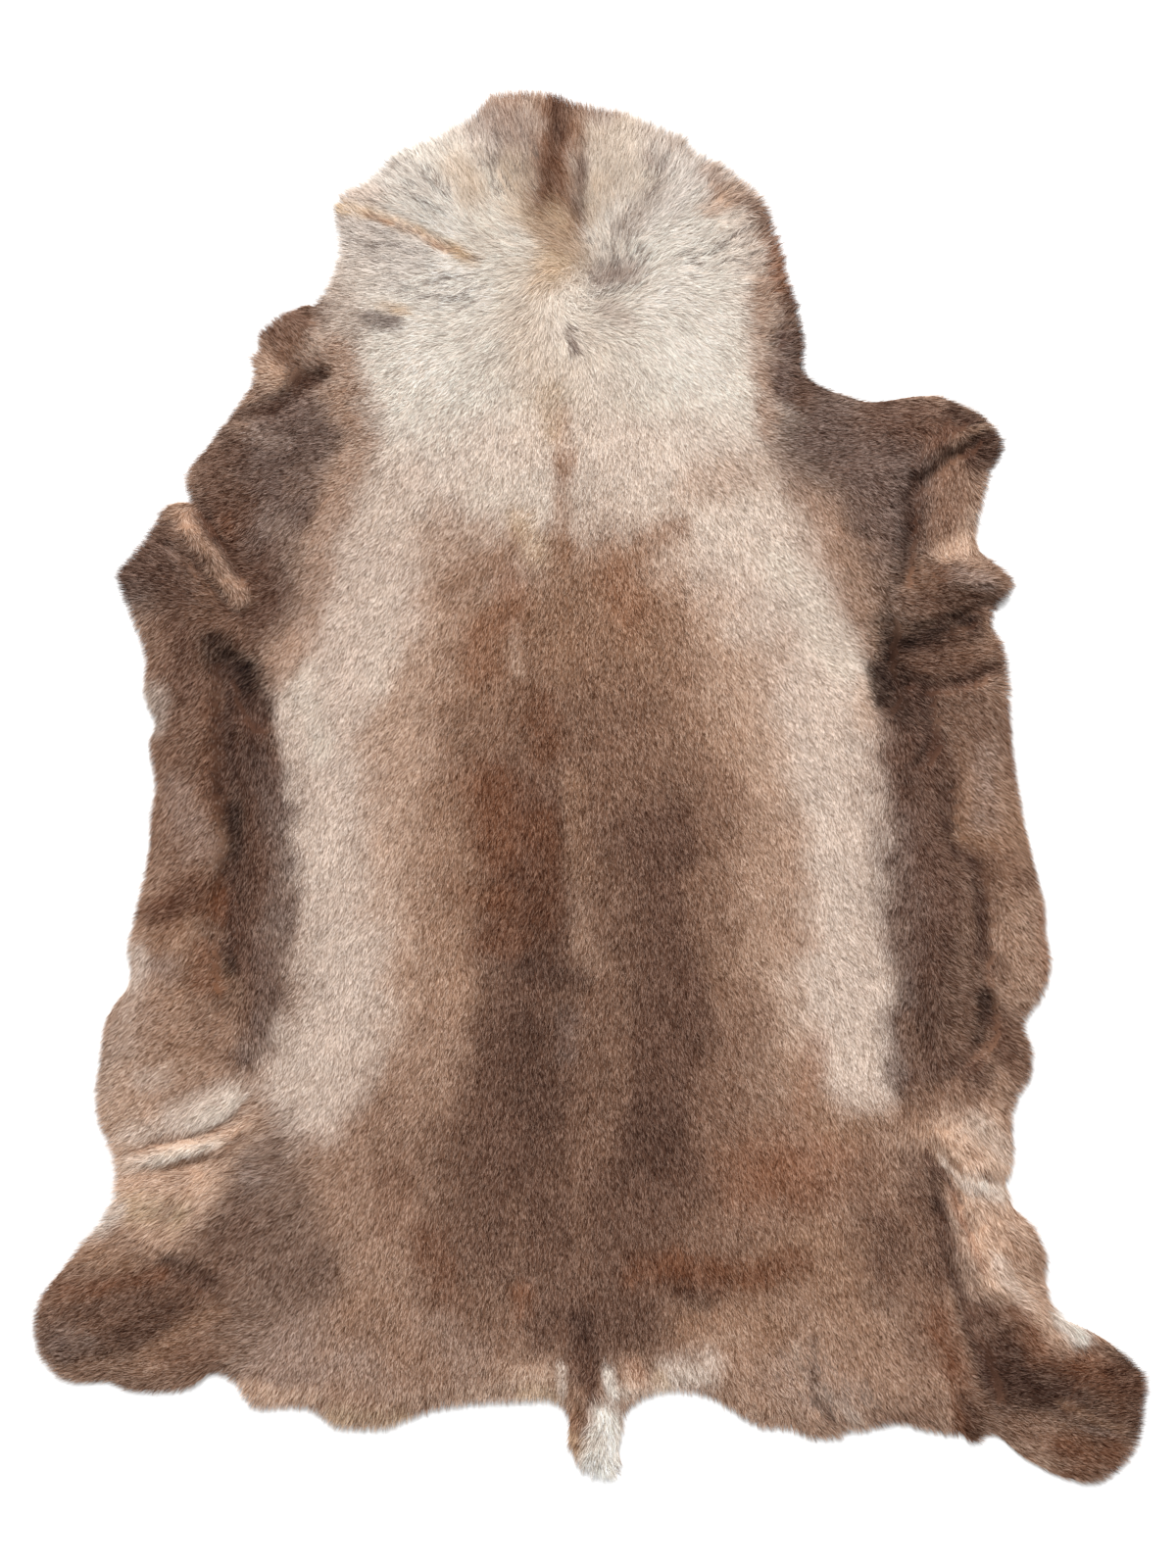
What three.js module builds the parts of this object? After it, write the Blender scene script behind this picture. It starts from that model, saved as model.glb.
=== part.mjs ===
// Reindeer hide, tanned with its coat on and laid hair side up on a flat surface.
// Units are millimetres, +Z is up, +Y is the neck end and the tail is at -Y.
// The hide is one closed solid: skin and lying coat together, with the folds it keeps when laid out.
import * as THREE from "three";

// ---- Driving dimensions ----
const COAT = 16; // depth of skin and lying coat over the body
const COAT_AT_EDGE = 5; // depth left at the very edge, where only hair tips lie
const COAT_ROUNDING = 36; // how far in from the edge the coat reaches its full depth
const THINNEST = 5; // least depth, under the bottom of a crease

const EDGE_STEP = 15; // spacing of points along the edge
const EDGE_RING = 12; // second row of points, this far inside the edge
const FOLD_STEP = 14; // spacing of points along a fold
const BODY_STEP = 25; // spacing of points over the flat of the body
const BODY_CLEARANCE = 15; // least distance of those from any other point
const CLEARANCE = 9; // least distance between two other points
const SAME_PLACE = 1; // two points on the edge nearer than this are one

const HIDE_COLOUR = 0x8f7867;

// ---- Edge of the hide ----
// x, y of each run's corners and turns, walked clockwise from the left of the neck. A run is one smooth
// stretch; two runs meet in a corner, where the hide was cut or folds over itself.
const EDGE_RUNS = {
  neckLeft: [
    [-254, 443], [-243, 458], [-236, 474], [-230, 494], [-235, 522], [-231, 546], [-208, 557],
    [-190, 571], [-179, 586], [-150, 594], [-127, 608], [-111, 615], [-95, 635],
  ],
  neckTop: [
    [-91, 638], [-63, 640], [-33, 637], [-16, 630], [37, 619], [53, 611], [71, 603], [89, 601],
  ],
  neckRight: [
    [93, 586], [120, 580], [132, 567], [148, 557], [165, 539], [167, 523], [176, 499], [180, 470],
    [187, 454], [193, 427], [197, 409], [193, 388],
  ],
  shoulderRight: [
    [203, 375], [228, 363], [261, 354], [287, 358], [326, 360], [334, 354], [357, 346], [370, 332],
    [377, 319], [373, 308], [362, 290], [358, 258], [355, 235], [359, 220],
  ],
  flapRight: [[359, 220], [370, 210], [390, 194], [381, 177], [369, 165], [367, 156]],
  bellyRight: [
    [367, 156], [374, 141], [381, 121], [384, 96], [385, 65], [393, -7], [400, -41], [409, -79],
    [417, -107], [416, -130], [422, -151], [419, -178], [409, -200], [398, -211],
  ],
  flankCutRight: [[398, -211], [406, -228], [407, -260], [395, -277], [387, -291], [388, -341], [381, -357]],
  hindLegRight: [
    [381, -357], [386, -382], [404, -399], [421, -426], [418, -439], [419, -465], [427, -487],
    [442, -498], [475, -508], [494, -524], [508, -535], [511, -546], [507, -562], [506, -588],
    [498, -608], [483, -625], [460, -638], [431, -630], [395, -611], [375, -594], [361, -589],
  ],
  rumpTuftRight: [[356, -603], [345, -599], [336, -591], [314, -590], [274, -581], [255, -589], [234, -588]],
  rumpRight: [
    [229, -597], [193, -594], [177, -583], [163, -588], [138, -576], [120, -564], [103, -555],
    [69, -552], [49, -558], [33, -568],
  ],
  tail: [
    [33, -568], [31, -584], [26, -602], [25, -631], [15, -634], [-3, -626], [-15, -614], [-22, -593],
    [-23, -570],
  ],
  rumpLeft: [
    [-33, -562], [-62, -564], [-109, -566], [-139, -571], [-165, -579], [-184, -588], [-226, -589],
    [-243, -585], [-255, -570], [-282, -567], [-304, -571], [-321, -561], [-330, -543], [-343, -537],
  ],
  hindLegLeft: [
    [-343, -537], [-364, -550], [-397, -554], [-427, -553], [-436, -544], [-483, -544], [-498, -530],
    [-508, -516], [-511, -485], [-507, -463], [-490, -441], [-467, -413], [-447, -388], [-436, -363],
    [-436, -343], [-445, -319],
  ],
  bellyLeft: [
    [-445, -319], [-453, -302], [-455, -280], [-452, -256], [-443, -206], [-427, -185], [-422, -167],
    [-426, -143], [-419, -116], [-406, -58], [-404, -25], [-400, 11], [-406, 39], [-405, 53], [-399, 66],
  ],
  armpitLeft: [[-399, 66], [-410, 82], [-411, 103], [-409, 125], [-417, 146], [-433, 186], [-436, 202]],
  lowerLobeLeft: [[-436, 202], [-427, 208], [-410, 230], [-399, 243], [-391, 261], [-379, 265], [-362, 265]],
  shoulderLeft: [[-362, 265], [-371, 278], [-373, 288], [-365, 301], [-350, 317], [-337, 336], [-326, 349]],
  earLobeLeft: [
    [-326, 349], [-316, 366], [-307, 382], [-310, 391], [-318, 399], [-303, 401], [-307, 414],
    [-294, 428], [-275, 439], [-258, 448],
  ],
};

// ---- Folds, where the skin itself stands clear of the floor ----
// height: rise of the skin; left, right: reach of each slope, seen walking along the line.
const FOLDS = {
  leftFlank: {
    height: 18, left: 62, right: 36,
    line: [[-307, 168], [-287, 105], [-289, 42], [-292, -39], [-295, -129], [-301, -201], [-305, -255]],
  },
  leftStrip: { height: 8, left: 18, right: 30, line: [[-352, 132], [-352, 42], [-350, -48], [-357, -138]] },
  leftArmpitRidge: {
    height: 12, left: 11, right: 11,
    line: [[-366, 247], [-345, 215], [-321, 181], [-316, 160]],
  },
  leftEarLobe: { height: 11, left: 34, right: 30, line: [[-262, 436], [-282, 402], [-296, 372]] },
  leftLowerLobe: { height: 6, left: 40, right: 40, line: [[-420, 200], [-396, 194], [-366, 188]] },
  leftThighPleat: {
    height: 8, left: 12, right: 12,
    line: [[-420, -341], [-376, -328], [-345, -321], [-322, -306]],
  },
  leftHindFoot: { height: 7, left: 46, right: 46, line: [[-490, -500], [-444, -489], [-380, -470]] },
  rightShoulder: { height: 16, left: 22, right: 70, line: [[263, 325], [272, 280], [272, 222], [262, 170]] },
  rightShoulderTurn: { height: 10, left: 14, right: 14, line: [[360, 340], [321, 312], [288, 286]] },
  rightFlap: { height: 14, left: 22, right: 16, line: [[308, 190], [345, 194], [380, 188]] },
  rightFlank: {
    height: 18, left: 40, right: 62,
    line: [[242, 155], [238, 114], [258, 66], [272, 6], [290, -66], [312, -129], [312, -192], [294, -255]],
  },
  rightStrip: {
    height: 8, left: 26, right: 22,
    line: [[344, 84], [357, 6], [373, -48], [389, -111], [391, -174]],
  },
  rightThighPleat: { height: 8, left: 12, right: 12, line: [[314, -303], [334, -338], [360, -362]] },
  rightThigh: { height: 8, left: 34, right: 28, line: [[348, -399], [371, -453], [402, -507]] },
  rightHindFoot: { height: 9, left: 46, right: 46, line: [[429, -561], [458, -571], [480, -578]] },
};

// ---- Coat, where it lies deeper (+) or is pressed into a crease (-) ----
// depth: added to the coat's depth at the line; left, right: as for the folds.
const COAT_LINES = {
  mane: { depth: 5, left: 190, right: 190, line: [[-12, 620], [-12, 456], [-12, 330]] },
  back: { depth: 3, left: 130, right: 130, line: [[-14, 340], [-12, -84], [-4, -520]] },
  tail: { depth: 9, left: 26, right: 26, line: [[-4, -520], [0, -561], [3, -600], [8, -628]] },
  leftEarCrease: {
    depth: -9, left: 14, right: 14,
    line: [[-246, 386], [-262, 366], [-286, 353], [-320, 347]],
  },
  leftArmpitCrease: {
    depth: -9, left: 13, right: 13,
    line: [[-360, 262], [-343, 236], [-325, 199], [-316, 172]],
  },
  leftHollow: { depth: -11, left: 18, right: 22, line: [[-334, 132], [-321, 110], [-313, 84], [-318, 60]] },
  leftFlankCrease: {
    depth: -9, left: 14, right: 14,
    line: [[-335, 65], [-334, 30], [-329, -53], [-322, -110], [-323, -151], [-336, -190], [-328, -246]],
  },
  leftThighCrease: {
    depth: -6, left: 12, right: 12,
    line: [[-428, -328], [-376, -317], [-345, -312], [-316, -288]],
  },
  rightShoulderCrease: {
    depth: -9, left: 13, right: 13,
    line: [[364, 331], [328, 307], [309, 283], [295, 272], [293, 240], [291, 205]],
  },
  rightFlapValley: { depth: -8, left: 14, right: 14, line: [[300, 146], [335, 157], [360, 161]] },
  rightArmpitCrease: {
    depth: -11, left: 18, right: 18,
    line: [[277, 178], [266, 146], [258, 120], [267, 97], [275, 70]],
  },
  rightFlankCrease: {
    depth: -9, left: 14, right: 14,
    line: [
      [308, 104], [312, 63], [303, 28], [322, 2], [326, -31], [349, -59], [360, -92], [363, -130],
      [360, -175], [360, -222], [340, -250], [306, -282],
    ],
  },
  rightThighCrease: { depth: -7, left: 12, right: 12, line: [[306, -311], [321, -333], [337, -374]] },
  rightLegTrough: {
    depth: -6, left: 18, right: 18,
    line: [[309, -330], [318, -395], [328, -444], [344, -484], [360, -525], [368, -561], [374, -580]],
  },
};

// ---- Lines and distances ----
function curvePoints(corners, step) {
  const path = new THREE.CatmullRomCurve3(
    corners.map(([x, y]) => new THREE.Vector3(x, y, 0)), false, "centripetal");
  const count = Math.max(2, Math.round(path.getLength() / step));
  return path.getSpacedPoints(count).map((p) => new THREE.Vector2(p.x, p.y));
}

// Distance from p to a line, with the side it lies on (+1 left, -1 right) and how far along it is (0 to 1).
function nearLine(p, line) {
  let best = { distance: Infinity, side: 1, along: 0 };
  for (let i = 0; i + 1 < line.length; i += 1) {
    const run = line[i + 1].clone().sub(line[i]);
    const reach = p.clone().sub(line[i]);
    const t = THREE.MathUtils.clamp(reach.dot(run) / run.lengthSq(), 0, 1);
    const distance = reach.clone().addScaledVector(run, -t).length();
    if (distance < best.distance) {
      best = { distance, side: Math.sign(run.cross(reach)) || 1, along: (i + t) / (line.length - 1) };
    }
  }
  return best;
}

// Height of a ridge or trough at p: rounded across, and fading to nothing over each end.
function swell(p, { left, right, path }) {
  const END_SHARE = 0.22; // share of the line over which each end fades
  const { distance, side, along } = nearLine(p, path);
  const reach = side > 0 ? left : right;
  if (distance >= reach) {
    return 0;
  }
  const across = Math.cos((distance / reach) * Math.PI / 2) ** 2;
  const fromEnd = Math.min(along, 1 - along);
  return across * THREE.MathUtils.smoothstep(fromEnd, 0, END_SHARE);
}

function withPaths(table) {
  return Object.values(table).map((row) => ({ ...row, path: curvePoints(row.line, FOLD_STEP) }));
}

const folds = withPaths(FOLDS);
const coatLines = withPaths(COAT_LINES);

// The closed edge, turned anticlockwise, with no point twice where two runs share a corner.
function edgeLoop() {
  const walked = Object.values(EDGE_RUNS).flatMap((run) => curvePoints(run, EDGE_STEP));
  const loop = walked.filter((p, i) => p.distanceTo(walked[(i + 1) % walked.length]) > SAME_PLACE);
  return loop.reverse();
}

const edge = edgeLoop();
const closedEdge = [...edge, edge[0]];

function isInside(p) {
  let inside = false;
  for (let i = 0; i < edge.length; i += 1) {
    const a = closedEdge[i];
    const b = closedEdge[i + 1];
    if ((a.y > p.y) !== (b.y > p.y) && p.x < a.x + ((p.y - a.y) * (b.x - a.x)) / (b.y - a.y)) {
      inside = !inside;
    }
  }
  return inside;
}

// ---- Surfaces ----
function undersideHeight(p) {
  return folds.reduce((sum, fold) => sum + fold.height * swell(p, fold), 0);
}

function coatDepth(p) {
  const inFromEdge = Math.min(nearLine(p, closedEdge).distance / COAT_ROUNDING, 1);
  const rounded = Math.sin((inFromEdge * Math.PI) / 2);
  const change = coatLines.reduce((sum, row) => sum + row.depth * swell(p, row), 0);
  const full = COAT_AT_EDGE + (COAT - COAT_AT_EDGE + change) * rounded;
  return Math.max(full, THINNEST);
}

// ---- Points inside the edge: along the folds, in a ring by the edge, then evenly over the body ----
function innerPoints() {
  const taken = [...edge];
  const chosen = [];
  const offer = (p, room) => {
    const free = taken.every((q) => q.distanceTo(p) >= room);
    if (free && isInside(p)) {
      taken.push(p);
      chosen.push(p);
    }
  };
  const sideways = (path, i, offset) => {
    const before = path[Math.max(i - 1, 0)];
    const after = path[Math.min(i + 1, path.length - 1)];
    const along = after.clone().sub(before).normalize();
    return path[i].clone().add(new THREE.Vector2(-along.y, along.x).multiplyScalar(offset));
  };
  const NARROW = 40; // a slope wider than this needs no row of points at its foot
  const BROAD = 120; // and one wider than this needs none along its line either
  const narrowRows = [...coatLines, ...folds].filter((row) => Math.max(row.left, row.right) < BROAD);
  for (const { path } of narrowRows) {
    path.forEach((p) => offer(p, CLEARANCE));
  }
  for (const { path, left, right } of narrowRows) {
    for (const offset of [left, -right].filter((reach) => Math.abs(reach) < NARROW)) {
      path.forEach((_, i) => offer(sideways(path, i, offset), CLEARANCE));
    }
  }
  closedEdge.forEach((_, i) => offer(sideways(closedEdge, i, EDGE_RING), CLEARANCE));
  const { min, max } = new THREE.Box2().setFromPoints(edge);
  const rowHeight = BODY_STEP * Math.sin(Math.PI / 3);
  for (let row = 0; min.y + row * rowHeight < max.y; row += 1) {
    for (let x = min.x + (row % 2) * (BODY_STEP / 2); x < max.x; x += BODY_STEP) {
      offer(new THREE.Vector2(x, min.y + row * rowHeight), BODY_CLEARANCE);
    }
  }
  return chosen;
}

// ---- Triangles in plan ----
// Fills the edge, adds the inner points one by one, and turns the shared side of two triangles wherever
// that makes them less thin (a constrained Delaunay mesh). Each triangle is kept as its three directed
// sides, each with the corner that it faces.
function planMesh(points, edgeCount) {
  const facing = new Map();
  const key = (a, b) => a * points.length + b;
  const corner = (a, b) => facing.get(key(a, b));
  const add = (a, b, c) => {
    facing.set(key(a, b), c);
    facing.set(key(b, c), a);
    facing.set(key(c, a), b);
  };
  const remove = (a, b, c) => {
    [[a, b], [b, c], [c, a]].forEach(([from, to]) => facing.delete(key(from, to)));
  };
  const turn = (a, b, c) => {
    const [p, q, r] = [points[a], points[b], points[c]];
    return (q.x - p.x) * (r.y - p.y) - (q.y - p.y) * (r.x - p.x);
  };
  const ROUNDING = 1; // points this near to being on the circle count as outside it
  const roundsIn = (a, b, c, d) => {
    const [[ax, ay], [bx, by], [cx, cy]] = [a, b, c].map((i) => [
      points[i].x - points[d].x,
      points[i].y - points[d].y,
    ]);
    const [aa, bb, cc] = [ax * ax + ay * ay, bx * bx + by * by, cx * cx + cy * cy];
    return ax * (by * cc - bb * cy) - ay * (bx * cc - bb * cx) + aa * (bx * cy - by * cx) > ROUNDING;
  };
  const settle = (sides) => {
    const waiting = [...sides];
    while (waiting.length) {
      const [a, b] = waiting.pop();
      const near = corner(a, b);
      const far = corner(b, a);
      if (near === undefined || far === undefined || !roundsIn(a, b, near, far)) {
        continue;
      }
      if (turn(a, far, near) <= 0 || turn(far, b, near) <= 0) {
        continue;
      }
      remove(a, b, near);
      remove(b, a, far);
      add(a, far, near);
      add(far, b, near);
      waiting.push([a, far], [far, b], [b, near], [near, a]);
    }
  };
  const triangles = () => {
    const found = [];
    for (const [side, c] of facing) {
      const a = Math.floor(side / points.length);
      const b = side % points.length;
      if (a < b && a < c) {
        found.push([a, b, c]);
      }
    }
    return found;
  };
  THREE.ShapeUtils.triangulateShape(points.slice(0, edgeCount), []).forEach(([a, b, c]) => add(a, b, c));
  settle(triangles().flatMap(([a, b, c]) => [[a, b], [b, c], [c, a]]));
  for (let p = edgeCount; p < points.length; p += 1) {
    const [a, b, c] = triangles().find((t) => {
      return turn(t[0], t[1], p) >= 0 && turn(t[1], t[2], p) >= 0 && turn(t[2], t[0], p) >= 0;
    });
    remove(a, b, c);
    add(a, b, p);
    add(b, c, p);
    add(c, a, p);
    settle([[a, b], [b, c], [c, a]]);
  }
  return triangles();
}

// ---- The solid: the plan mesh as coat and as underside, joined by a narrow wall around the edge ----
function hideGeometry() {
  const points = [...edge, ...innerPoints()];
  const plan = planMesh(points, edge.length);
  const underside = points.map((p) => [p.x, p.y, undersideHeight(p)]);
  const coat = points.map((p, i) => [p.x, p.y, underside[i][2] + coatDepth(p)]);
  const top = points.length;
  const faces = plan.flatMap(([a, b, c]) => [a + top, b + top, c + top, a, c, b]);
  edge.forEach((_, i) => {
    const next = (i + 1) % edge.length;
    faces.push(i, next, next + top, i, next + top, i + top);
  });
  const geometry = new THREE.BufferGeometry();
  geometry.setAttribute("position", new THREE.Float32BufferAttribute([...underside, ...coat].flat(), 3));
  geometry.setIndex(faces);
  geometry.computeBoundingBox();
  const middle = geometry.boundingBox.getCenter(new THREE.Vector3());
  geometry.translate(-middle.x, -middle.y, 0);
  geometry.computeVertexNormals();
  return geometry;
}

const pelt = new THREE.MeshStandardMaterial({ color: HIDE_COLOUR, roughness: 0.9, metalness: 0 });
const hide = new THREE.Mesh(hideGeometry(), pelt);
hide.name = "hide";

const group = new THREE.Group();
group.add(hide);

export default group;
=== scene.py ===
import math

import bpy
import numpy as np
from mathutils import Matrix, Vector, geometry
from mathutils.bvhtree import BVHTree


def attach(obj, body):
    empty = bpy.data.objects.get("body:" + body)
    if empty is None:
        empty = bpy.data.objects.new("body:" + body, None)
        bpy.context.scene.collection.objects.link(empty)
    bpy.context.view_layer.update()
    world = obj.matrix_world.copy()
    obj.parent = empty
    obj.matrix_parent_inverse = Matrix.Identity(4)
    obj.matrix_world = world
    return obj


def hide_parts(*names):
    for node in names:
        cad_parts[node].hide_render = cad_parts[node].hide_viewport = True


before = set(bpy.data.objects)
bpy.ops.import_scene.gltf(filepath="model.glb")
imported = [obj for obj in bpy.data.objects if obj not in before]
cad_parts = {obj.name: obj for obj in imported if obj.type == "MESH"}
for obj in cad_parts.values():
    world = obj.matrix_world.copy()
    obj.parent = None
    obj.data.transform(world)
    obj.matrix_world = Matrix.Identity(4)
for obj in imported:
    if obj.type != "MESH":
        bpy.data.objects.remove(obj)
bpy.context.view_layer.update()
MM = 0.001


# ---------------------------------------------------------------------------------------------------
# The table the hide is laid on: a pale matt top under a wide soft lamp, seen from straight above.
# The lamp stands off the neck end and to the left, so hair and creases throw short soft shadows.
CAMERA_HEIGHT = 4.0
SEEN_LENGTH = 1.44  # of the table, from the top to the bottom of the picture
SEEN_MIDDLE = (-0.0027, 0.0058)
SENSOR = 36.0
TABLE_SIDE = 8.0
TABLE_GAP = 0.0004
TABLE_COLOUR = (0.82, 0.82, 0.82, 1)
TABLE_ROUGHNESS = 0.8
LAMP_PLACE = Vector((-0.9, 4.6, 5.8))
LAMP_SIDE = 2.4
LAMP_POWER = 700.0
SKY_STRENGTH = 0.68

scene = bpy.context.scene
camera_data = bpy.data.cameras.new("camera")
camera_data.sensor_width = SENSOR
camera_data.lens = SENSOR * CAMERA_HEIGHT / SEEN_LENGTH
camera = bpy.data.objects.new("camera", camera_data)
camera.location = (*SEEN_MIDDLE, CAMERA_HEIGHT)
scene.collection.objects.link(camera)
scene.camera = camera
scene.view_settings.view_transform = "Standard"

lamp_data = bpy.data.lights.new("lamp", "AREA")
lamp_data.shape = "SQUARE"
lamp_data.size = LAMP_SIDE
lamp_data.energy = LAMP_POWER
lamp = bpy.data.objects.new("lamp", lamp_data)
lamp.location = LAMP_PLACE
lamp.rotation_euler = (-LAMP_PLACE).to_track_quat("-Z", "Y").to_euler()
scene.collection.objects.link(lamp)

sky = bpy.data.worlds.new("sky")
sky.use_nodes = True
sky.node_tree.nodes["Background"].inputs["Color"].default_value = (1, 1, 1, 1)
sky.node_tree.nodes["Background"].inputs["Strength"].default_value = SKY_STRENGTH
scene.world = sky

half = TABLE_SIDE / 2
table_corners = [(x, y, -TABLE_GAP) for x, y in ((-half, -half), (half, -half), (half, half), (-half, half))]
table_mesh = bpy.data.meshes.new("table_top")
table_mesh.from_pydata(table_corners, [], [(0, 1, 2, 3)])
table_paint = bpy.data.materials.new("pale table")
table_paint.use_nodes = True
table_paint.node_tree.nodes["Principled BSDF"].inputs["Base Color"].default_value = TABLE_COLOUR
table_paint.node_tree.nodes["Principled BSDF"].inputs["Roughness"].default_value = TABLE_ROUGHNESS
table_mesh.materials.append(table_paint)
table_top = bpy.data.objects.new("table_top", table_mesh)
scene.collection.objects.link(table_top)


# ---------------------------------------------------------------------------------------------------
# Lie, sway and length of the hair: it grows outwards from a whorl on the neck, then runs back along the
# body and out over the flanks. They are worked out first, because the cut edge of the skin stops short
# of the hair's tips by as much as the hair there reaches past it.
WHORL = (-12, 465)
BEHIND_WHORL = (430, 270)  # where along the hide the whorl gives way to the hair of the back
FLANK = 260  # from the spine to where the hair lies furthest out
SHOULDER_SPREAD = 1.15  # how far outwards the hair leans at the shoulders, against how far back
RUMP_SPREAD = 0.5
SPREAD_GROWS = (-150, 330)  # where along the hide the one turns into the other
SWIRL = 1.1  # how far the hair turns aside at the whorl itself, in radians
SWIRL_REACH = 110
SWAY = ((0.35, 60, 1), (0.3, 22, 2), (0.2, 9, 3))  # clouds of turns, as (radians, size, seed)
SWAY_OF_BODY = 0.4  # share of the sway that the sleek hair has
HAIR_RUN = 5.2  # how far a hair reaches along the coat past the underfur
EDGE_HAIR = 0.8  # how much longer the hair is at the cut edge, where nothing holds it up
CLOUD_NET = 64
FADE = (0.4, 1.4)  # shares of a line's reach between which its effect fades
COMBED_FADE = (0.5, 1.3)
# Points are given as x, y, x, y and so on, with x to the right and y to the neck end. The hair within
# reach of one of these lines lies along it, as name: (reach, points from root to tip).
COMBED = {
    "left ear lobe": (30, -255, 380, -300, 425),
    "left shoulder": (60, -240, 335, -365, 300),
    "left lower lobe": (42, -340, 195, -440, 215),
    "left armpit ridge": (12, -366, 247, -321, 181),
    "left strip, front": (42, -340, 90, -410, 20),
    "left strip, middle": (42, -345, -50, -410, -110),
    "left belly": (60, -320, -190, -440, -290),
    "left flank": (26, -298, 60, -305, -230),
    "left thigh": (50, -320, -320, -440, -400),
    "left leg": (60, -290, -350, -390, -440, -510, -500),
    "left hock": (40, -330, -500, -500, -535),
    "right shoulder": (55, 210, 335, 370, 335),
    "right armpit": (28, 322, 310, 328, 225),
    "right flap": (28, 295, 192, 395, 186),
    "right hollow": (30, 290, 135, 380, 115),
    "right strip, front": (40, 330, 70, 395, 10),
    "right strip, middle": (40, 345, -50, 410, -110),
    "right belly": (50, 325, -190, 410, -250),
    "right flank": (28, 272, 40, 298, -230),
    "right thigh": (42, 318, -300, 400, -450),
    "right leg": (45, 300, -320, 345, -460, 430, -550),
    "right foot": (50, 390, -560, 515, -560),
    "right heel": (35, 380, -590, 480, -630),
    "right thigh fringe": (14, 410, -455, 430, -480, 452, -510),
    "tail": (26, -6, -500, 0, -590, 12, -640),
    "crown": (45, -65, 590, -70, 650),
}
# How shaggy and how much longer than elsewhere the hair is, as name: (amount, reach, points).
SHAGGY = {
    "neck": (0.6, 140, -100, 520, 60, 520),
    "neck, right edge": (1.4, 30, 120, 560, 165, 510, 190, 410),
    "left thigh": (0.5, 60, -340, -330, -430, -380),
    "right thigh": (0.6, 50, 335, -320, 390, -440),
    "tail": (1.0, 30, 0, -560, 8, -620),
    "rump, hem": (0.8, 24, 150, -570, 250, -590, 340, -590),
}
LONG_HAIR = {
    "neck": (0.9, 130, -110, 510, 50, 510),
    "neck, right edge": (-0.3, 26, 120, 560, 165, 510, 190, 410),
    "left thigh": (0.8, 60, -330, -330, -430, -380),
    "right thigh": (0.8, 50, 330, -330, 390, -430),
    "right thigh fringe": (2.2, 10, 425, -476, 438, -492),
    "tail": (0.4, 30, 0, -560, 10, -610),
}


def near_line(x, y, points):
    """Distance from each x, y to a line, and the line's direction at the nearest place."""
    best = np.full(x.shape, np.inf)
    heading = np.zeros(x.shape + (2,))
    points = np.reshape(points, (-1, 2))
    for (ax, ay), (bx, by) in zip(points, points[1:]):
        run = np.array((bx - ax, by - ay), float)
        length = np.hypot(*run)
        share = np.clip(((x - ax) * run[0] + (y - ay) * run[1]) / length**2, 0, 1)
        distance = np.hypot(x - ax - share * run[0], y - ay - share * run[1])
        closer = distance < best
        best = np.where(closer, distance, best)
        heading[closer] = run / length
    return best, heading


def ease(value, low, high):
    """0 at low, 1 at high, with soft ends."""
    share = np.clip((value - low) / (high - low), 0, 1)
    return share * share * (3 - 2 * share)


def faded(distance, reach, fade):
    """1 on a line and 0 far from it."""
    return 1 - ease(distance, fade[0] * reach, fade[1] * reach)


def along_lines(x, y, table):
    """Sum of a table's amounts at each x, y: each row gives an amount, a reach and a line."""
    total = np.zeros(len(x))
    for amount, reach, *points in table.values():
        distance, _ = near_line(x, y, points)
        total += amount * faded(distance, reach, FADE)
    return total


def unit(vectors):
    return vectors / np.maximum(np.linalg.norm(vectors, axis=-1, keepdims=True), 1e-9)


def turned_by(vectors, angle):
    """Vectors in plan, each turned anticlockwise by its own angle."""
    x, y = vectors.T
    return np.stack((x * np.cos(angle) - y * np.sin(angle), x * np.sin(angle) + y * np.cos(angle)), -1)


def cloud(x, y, size, seed):
    """Soft uneven patches about 0, of the given size: values drawn on a square net, joined smoothly."""
    net = np.random.default_rng(seed).uniform(-1, 1, (CLOUD_NET, CLOUD_NET))
    across, along = (x / size) % CLOUD_NET, (y / size) % CLOUD_NET
    column, row = np.floor(across).astype(int) % CLOUD_NET, np.floor(along).astype(int) % CLOUD_NET
    share_x, share_y = ease(across % 1, 0, 1), ease(along % 1, 0, 1)
    next_column, next_row = (column + 1) % CLOUD_NET, (row + 1) % CLOUD_NET
    near_row = net[row, column] * (1 - share_x) + net[row, next_column] * share_x
    far_row = net[next_row, column] * (1 - share_x) + net[next_row, next_column] * share_x
    return near_row * (1 - share_y) + far_row * share_y


def clouds(x, y, parts, total=0):
    """Sum of clouds, each given as (depth, size, seed)."""
    for depth, size, seed in parts:
        total = total + depth * cloud(x, y, size, seed)
    return total


def lie_of_hair(x, y):
    """The way the hair lies at each x, y, in millimetres, as unit vectors in plan."""
    away = np.stack((x - WHORL[0], y - WHORL[1]), -1)
    from_whorl = turned_by(unit(away), SWIRL * (1 - ease(np.hypot(*away.T), 0, SWIRL_REACH)))
    spread = RUMP_SPREAD + (SHOULDER_SPREAD - RUMP_SPREAD) * ease(y, *SPREAD_GROWS)
    over_back = unit(np.stack((spread * np.clip((x - WHORL[0]) / FLANK, -1, 1), -np.ones_like(y)), -1))
    behind = ease(-y, -BEHIND_WHORL[0], -BEHIND_WHORL[1])[..., None]
    lie = unit(from_whorl * (1 - behind) + over_back * behind)
    for reach, *points in COMBED.values():
        distance, heading = near_line(x, y, points)
        share = faded(distance, reach, COMBED_FADE)[..., None]
        lie = unit(lie * (1 - share) + heading * share)
    sway = clouds(x, y, SWAY)
    return turned_by(lie, sway * (SWAY_OF_BODY + np.minimum(along_lines(x, y, SHAGGY), 1)))


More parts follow.
